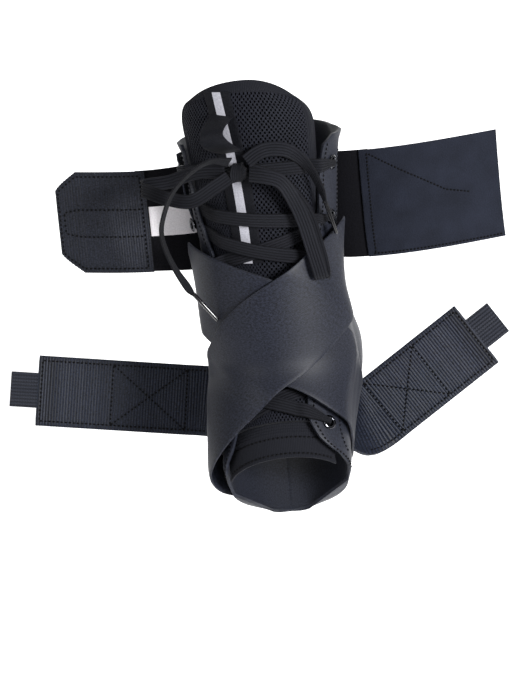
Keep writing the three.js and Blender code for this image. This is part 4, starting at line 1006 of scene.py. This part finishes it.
def strapAt(side, upper):
    shares = np.linspace(0, 1, strap["rows"] + 1)
    acrossShares = np.linspace(0, 1, strap["columns"] + 1)
    along, around = strapMiddle(side, shares)
    step = 1 / strap["steps"]
    later = formPoints(*strapMiddle(side, np.minimum(shares + step, 1)))
    earlier = formPoints(*strapMiddle(side, np.maximum(shares - step, 0)))
    wide = unit(np.cross(unit(later - earlier), slopes(along, around)[2]))
    grid = np.broadcast_arrays(along[:, None], around[:, None], acrossShares[None, :])
    spots = walk(grid[0].astype(float), grid[1].astype(float),
                 np.repeat(wide[:, None], len(acrossShares), 1), strap["width"] * (grid[2] - 0.5))
    bare = formPoints(*spots)
    lift = strapUnder(*spots) + strap["wall"] / 2
    if upper:
        other = strapMiddles[-side]
        distance = np.min(np.linalg.norm(bare[:, :, None] - other[None, None], axis=3), axis=2)
        edge = strap["width"] / 2 + 6
        away = smooth(edge, edge + strap["shoulder"], distance)
        lift = lift + (strap["wall"] + 5 * layer["gap"]) * (1 - away)
    out = slopes(*spots)[2]
    middle = bare + out * lift[..., None]

    def at(u, v, lift=0.0):
        x = np.clip(u * strap["columns"], 0, strap["columns"])
        y = np.clip(v * strap["rows"], 0, strap["rows"])
        i, j = np.minimum(y.astype(int), strap["rows"] - 1), np.minimum(x.astype(int), strap["columns"] - 1)
        s, t = (y - i)[:, None], (x - j)[:, None]

        def mix(a):
            first = a[i, j] * (1 - t) + a[i, j + 1] * t
            second = a[i + 1, j] * (1 - t) + a[i + 1, j + 1] * t
            return first * (1 - s) + second * s

        return mix(middle) + mix(out) * lift
    return at


strapLength = {side: lengthOf(strapMiddles[side]) for side in (1, -1)}
strapSurface = {}
for name, side, upper in (("under", -1, False), ("over", 1, True)):
    strapSurface[side] = strapAt(side, upper)
    piece = newSheet(f"crossStrap-{name}", strap["rows"], strap["columns"], strapSurface[side],
                     strap["wall"], (strap["width"], strapLength[side]), braceCloth, 0.4)
    settle(piece, "cross_strap", f"cross_strap_{name}")
print("straps crossed")

# Hook straps: ribbed webbing sewn on with a box and cross, each with a pull tab
webbing = {"width": 50, "wall": 2.4, "steps": 9, "ribPitch": 2.0, "ribHeight": 0.45, "tabWidth": 25,
           "tabLength": 19, "tabWall": 1.2}
hookStraps = [
    # name, side, length, up, toward, box start and end as shares
    ("right", 1, 118, 0.55, 0.02, 0.30, 0.66), ("left", -1, 156, 0.15, 0.02, 0.32, 0.66),
]
for name, side, long, upShare, toward, boxStart, boxEnd in hookStraps:
    at = strapSurface[side]
    one = np.ones(1)
    before, end = at(0.5 * one, (strap["steps"] - 3) / strap["steps"] * one)[0], at(0.5 * one, one)[0]
    inner, outer = at(0 * one, one)[0], at(one, one)[0]
    across = outer - inner
    leaving = unit(end - before)
    out = unit(np.cross(leaving, across))
    if out[0] * side < 0:
        out = -out
    root = end + leaving * 2 * layer["gap"] + out * (webbing["wall"] / 2 + layer["gap"])
    leaving = unit(leaving + out * 0.5)
    rootWide = unit(across)
    heading = sideways * side * math.sqrt(1 - upShare ** 2 - toward ** 2) + shinUp * upShare + facing * toward
    freeWide = unit(np.cross(heading, facing))
    if freeWide @ rootWide < 0:
        freeWide = -freeWide
    coarse, wides = [root], []
    for i in range(webbing["steps"] + 1):
        s = smooth(0, 0.2, i / webbing["steps"])
        wides.append(rootWide * (1 - s) + freeWide * s)
        coarse.append(coarse[-1] + unit(leaving * (1 - s) + heading * s) * long / webbing["steps"])
    coarse, wides = np.array(coarse[:-1]), np.array(wides)
    count = int(long / webbing["ribPitch"] * 5)
    fine = np.linspace(0, webbing["steps"], count + 1)
    points, wide = rowsAt(coarse, fine), rowsAt(wides, fine)
    run = np.concatenate([[0], np.cumsum(np.linalg.norm(np.diff(points, axis=0), axis=1))])
    frontSign = 1 if np.cross(unit(points[-1] - points[-2]), unit(wide[-1])) @ facing > 0 else -1

    def ribs(u, v, run=run, frontSign=frontSign):
        wave = np.abs(np.sin(np.pi * np.interp(v, np.linspace(0, 1, len(run)), run) / webbing["ribPitch"]))
        return frontSign * webbing["ribHeight"] * (wave - 0.5) * smooth(0, 0.06, np.minimum(u, 1 - u))
    surface = ribbonAt(points, wide, np.full(len(points), float(webbing["width"])), 0.0, ribs)
    piece = newSheet(f"hookStrap-{name}", count, 24, surface, webbing["wall"] - 0.5,
                     (webbing["width"], long), webbingWeave, 0.3, False)
    settle(piece, "webbing", f"hook_strap_{name}")
    m, b, e = 0.07, boxStart, boxEnd
    edgeLines = [[(m, 0.12), (m, 0.975)], [(1 - m, 0.12), (1 - m, 0.975)], [(m, 0.975), (1 - m, 0.975)]]
    boxLines = [[(m, b), (1 - m, b)], [(m, e), (1 - m, e)], [(m, b), (1 - m, e)], [(1 - m, b), (m, e)]]
    seams = sewOn(f"hookSeams-{name}", surface, edgeLines + boxLines,
                  frontSign * (webbing["wall"] / 2 + 0.05))
    settle(seams, "webbing")
    tabPoints = points[-1] + np.linspace(-2, webbing["tabLength"] + layer["gap"], 24)[:, None] * heading
    tabAt = ribbonAt(tabPoints, np.repeat([wide[-1]], 24, 0), np.full(24, float(webbing["tabWidth"])),
                     0.15 * frontSign)
    tab = newSheet(f"pullTab-{name}", 23, 16, tabAt, webbing["tabWall"],
                   (webbing["tabWidth"], webbing["tabLength"]), tabWeave, 0.3)
    settle(tab, "tab", f"pull_tab_{name}")
print("hook straps sewn on")

# Fuzzy strips down the sides
strip = {"wall": 1.4, "width": 32, "rise": 136, "foot": 36, "middle": 96}
for name, side in sides:
    def stripAt(u, v, lift=0.0, side=side):
        along = strip["rise"] + (strip["foot"] - strip["rise"]) * v
        around = side * (strip["middle"] + strip["width"] * (u - 0.5))
        rough = 0.16 * np.sin(along * 5.1 + u * 40) * np.sin(along * 2.3 - u * 23)
        base = quarterTop(along, around) + 2 * layer["gap"] + strip["wall"] / 2
        return lifted(along, around, base + rough + lift)
    piece = newSheet(f"loopStrip-{name}", 100, 32, stripAt, strip["wall"],
                     (strip["width"], strip["rise"] - strip["foot"]), loopPile)
    settle(piece, "loop_cloth", f"side_patch_{name}")

# Cuff: elastic band, hook patch, doubled panel and blank label
cuff = {"height": 73, "narrowing": 0.06, "wall": 1.6, "rise": 88, "wrap": 34, "left": 107, "right": 127,
        "patchLength": 58, "patchWall": 2.2, "corner": 14, "panelLength": 90, "panelWall": 1.4, "lap": 6,
        "labelLength": 38, "labelHeight": 21, "labelWall": 0.5, "rib": 1.6, "ribHeight": 0.34}
cuffSpread = np.array([
    # out, front, rise
    (0, 0, 0), (0.14, 0.11, 0), (0.3, 0.16, 0.006), (0.47, 0.178, 0.014), (0.65, 0.17, 0.024),
    (0.82, 0.145, 0.034), (1.0, 0.105, 0.044),
])


def cuffPoints(side, reach, distance, height, lift):
    narrowing = np.where(side < 0,
                         cuff["narrowing"] * smooth(cuff["wrap"], cuff["wrap"] + reach / 2, distance), 0)
    along = cuff["rise"] + height * (1 - narrowing)
    around = side * (halfGirth(along) - np.minimum(distance, cuff["wrap"]))
    under = quarterTop(along, around) + 4 * layer["gap"] + strip["wall"]
    base, (_, _, out) = lifted(along, around, under), slopes(along, around)
    last = len(cuffSpread) - 1
    place = np.clip((distance - cuff["wrap"]) / reach, 0, 1) * last
    row, before = rowsAt(cuffSpread, place), rowsAt(cuffSpread, np.maximum(place - 0.3, 0))
    away = distance > cuff["wrap"]
    ahead = unit(np.where(away[:, None], row - before, np.array((1.0, 0, 0)))[:, :2] + np.array((1e-9, 0)))
    free = np.clip((distance - cuff["wrap"]) / 12, 0, 1)[:, None]
    flatFace = sideways * (side * ahead[:, 1])[:, None] - legFront * ahead[:, :1]
    face = np.where(away[:, None], unit(out * (1 - free) + flatFace * free), out)
    ways = ((sideways, side * row[:, 0]), (legFront, row[:, 1]), (legUp, row[:, 2]))
    spread = sum(way * (part * reach)[:, None] for way, part in ways)
    return base + np.where(away[:, None], spread, 0) + face * np.broadcast_to(lift, distance.shape)[:, None]


def cuffSheet(side, reach, start, end, middleLift, half, ribs=None):
    def at(u, v, lift=0.0):  # v runs outwards, u runs from the cuff's top down
        distance = start + (end - start) * v
        relief = ribs(u, v) if ribs and np.all(lift == 0) else 0
        return cuffPoints(np.sign(side) * np.ones_like(u), reach, distance, half(distance) * (1 - 2 * u),
                          middleLift - relief - lift)
    return at


ends = {"left": cuff["wrap"] + cuff["left"], "right": cuff["wrap"] + cuff["right"]}
bandEnds = {"left": ends["left"] - cuff["patchLength"] + cuff["lap"],
            "right": ends["right"] - cuff["panelLength"] + cuff["lap"]}


def bandAt(u, v, lift=0.0):
    start = -bandEnds["left"] + (bandEnds["left"] + bandEnds["right"]) * v
    side = np.where(start < 0, -1.0, 1.0)
    reach = np.where(start < 0, cuff["left"], cuff["right"])
    return cuffPoints(side, reach, np.abs(start), cuff["height"] / 2 * (1 - 2 * u), cuff["wall"] / 2 - lift)


bandLength = bandEnds["left"] + bandEnds["right"]
band = newSheet("cuffBand", 130, 30, bandAt, cuff["wall"], (cuff["height"], bandLength), cuffElastic, 0.4)
settle(band, "cuff_elastic", "cuff_band")

patchStart = ends["left"] - cuff["patchLength"]
patchHalf = lambda d: cuff["height"] / 2 - np.maximum(0, d - ends["left"] + cuff["corner"])


def patchRibs(u, v):  # they die away towards the sewn edges
    inside = smooth(0, 0.035, np.minimum(u, 1 - u)) * smooth(0.0, 0.04, np.minimum(v, 1 - v))
    return cuff["ribHeight"] * (np.abs(np.sin(np.pi * v * cuff["patchLength"] / cuff["rib"])) - 0.5) * inside


patchAt = cuffSheet(-1, cuff["left"], patchStart, ends["left"], -layer["gap"] - cuff["patchWall"] / 2,
                    patchHalf, patchRibs)
patchCloth = newSheet("hookPatch", 216, 26, patchAt, cuff["patchWall"] - 0.4,
                      (cuff["height"], cuff["patchLength"]), hookWeave, 0.4, False)
settle(patchCloth, "hook_cloth", "hook_patch")
m = 0.045
patchLines = [[(m, 0.06), (m, 0.76)], [(1 - m, 0.06), (1 - m, 0.76)], [(m, 0.06), (1 - m, 0.06)],
              [(m, 0.76), (m + 0.02, 0.955)],
              [(1 - m, 0.76), (0.98 - m, 0.955)], [(m + 0.02, 0.955), (0.98 - m, 0.955)],
              [(0.37, 0.07), (0.37, 0.9)], [(0.635, 0.07), (0.635, 0.9)], [(0.37, 0.9), (0.635, 0.9)]]
seams = sewOn("patchSeams", patchAt, patchLines, cuff["patchWall"] / 2)
settle(seams, "hook_cloth")

panelAt = cuffSheet(1, cuff["right"], ends["right"] - cuff["panelLength"], ends["right"],
                    -layer["gap"] - cuff["panelWall"] / 2, lambda d: cuff["height"] / 2)
panel = newSheet("cuffPanel", 80, 50, panelAt, cuff["panelWall"], (cuff["height"], cuff["panelLength"]),
                 velour, 0.4)
settle(panel, "loop_cloth", "cuff_panel")
panelLines = [[(0.03, 0.06), (0.97, 0.06)], [(0.04, 0.07), (0.46, 0.6), (0.52, 0.78)],
              [(0.97, 0.04), (0.97, 0.97)]]
seams = sewOn("panelSeams", panelAt, panelLines, cuff["panelWall"] / 2, 2.4)
settle(seams, "loop_cloth")

labelEnd = patchStart - 2 * layer["gap"]
labelAt = cuffSheet(-1, cuff["left"], labelEnd, labelEnd - cuff["labelLength"],
                    -layer["gap"] - cuff["labelWall"] / 2, lambda d: cuff["labelHeight"] / 2)
label = newSheet("blankLabel", 30, 16, labelAt, cuff["labelWall"],
                 (cuff["labelHeight"], cuff["labelLength"]), labelSatin, 0.12)
settle(label, "label", "cuff_label")
print("cuff hung")
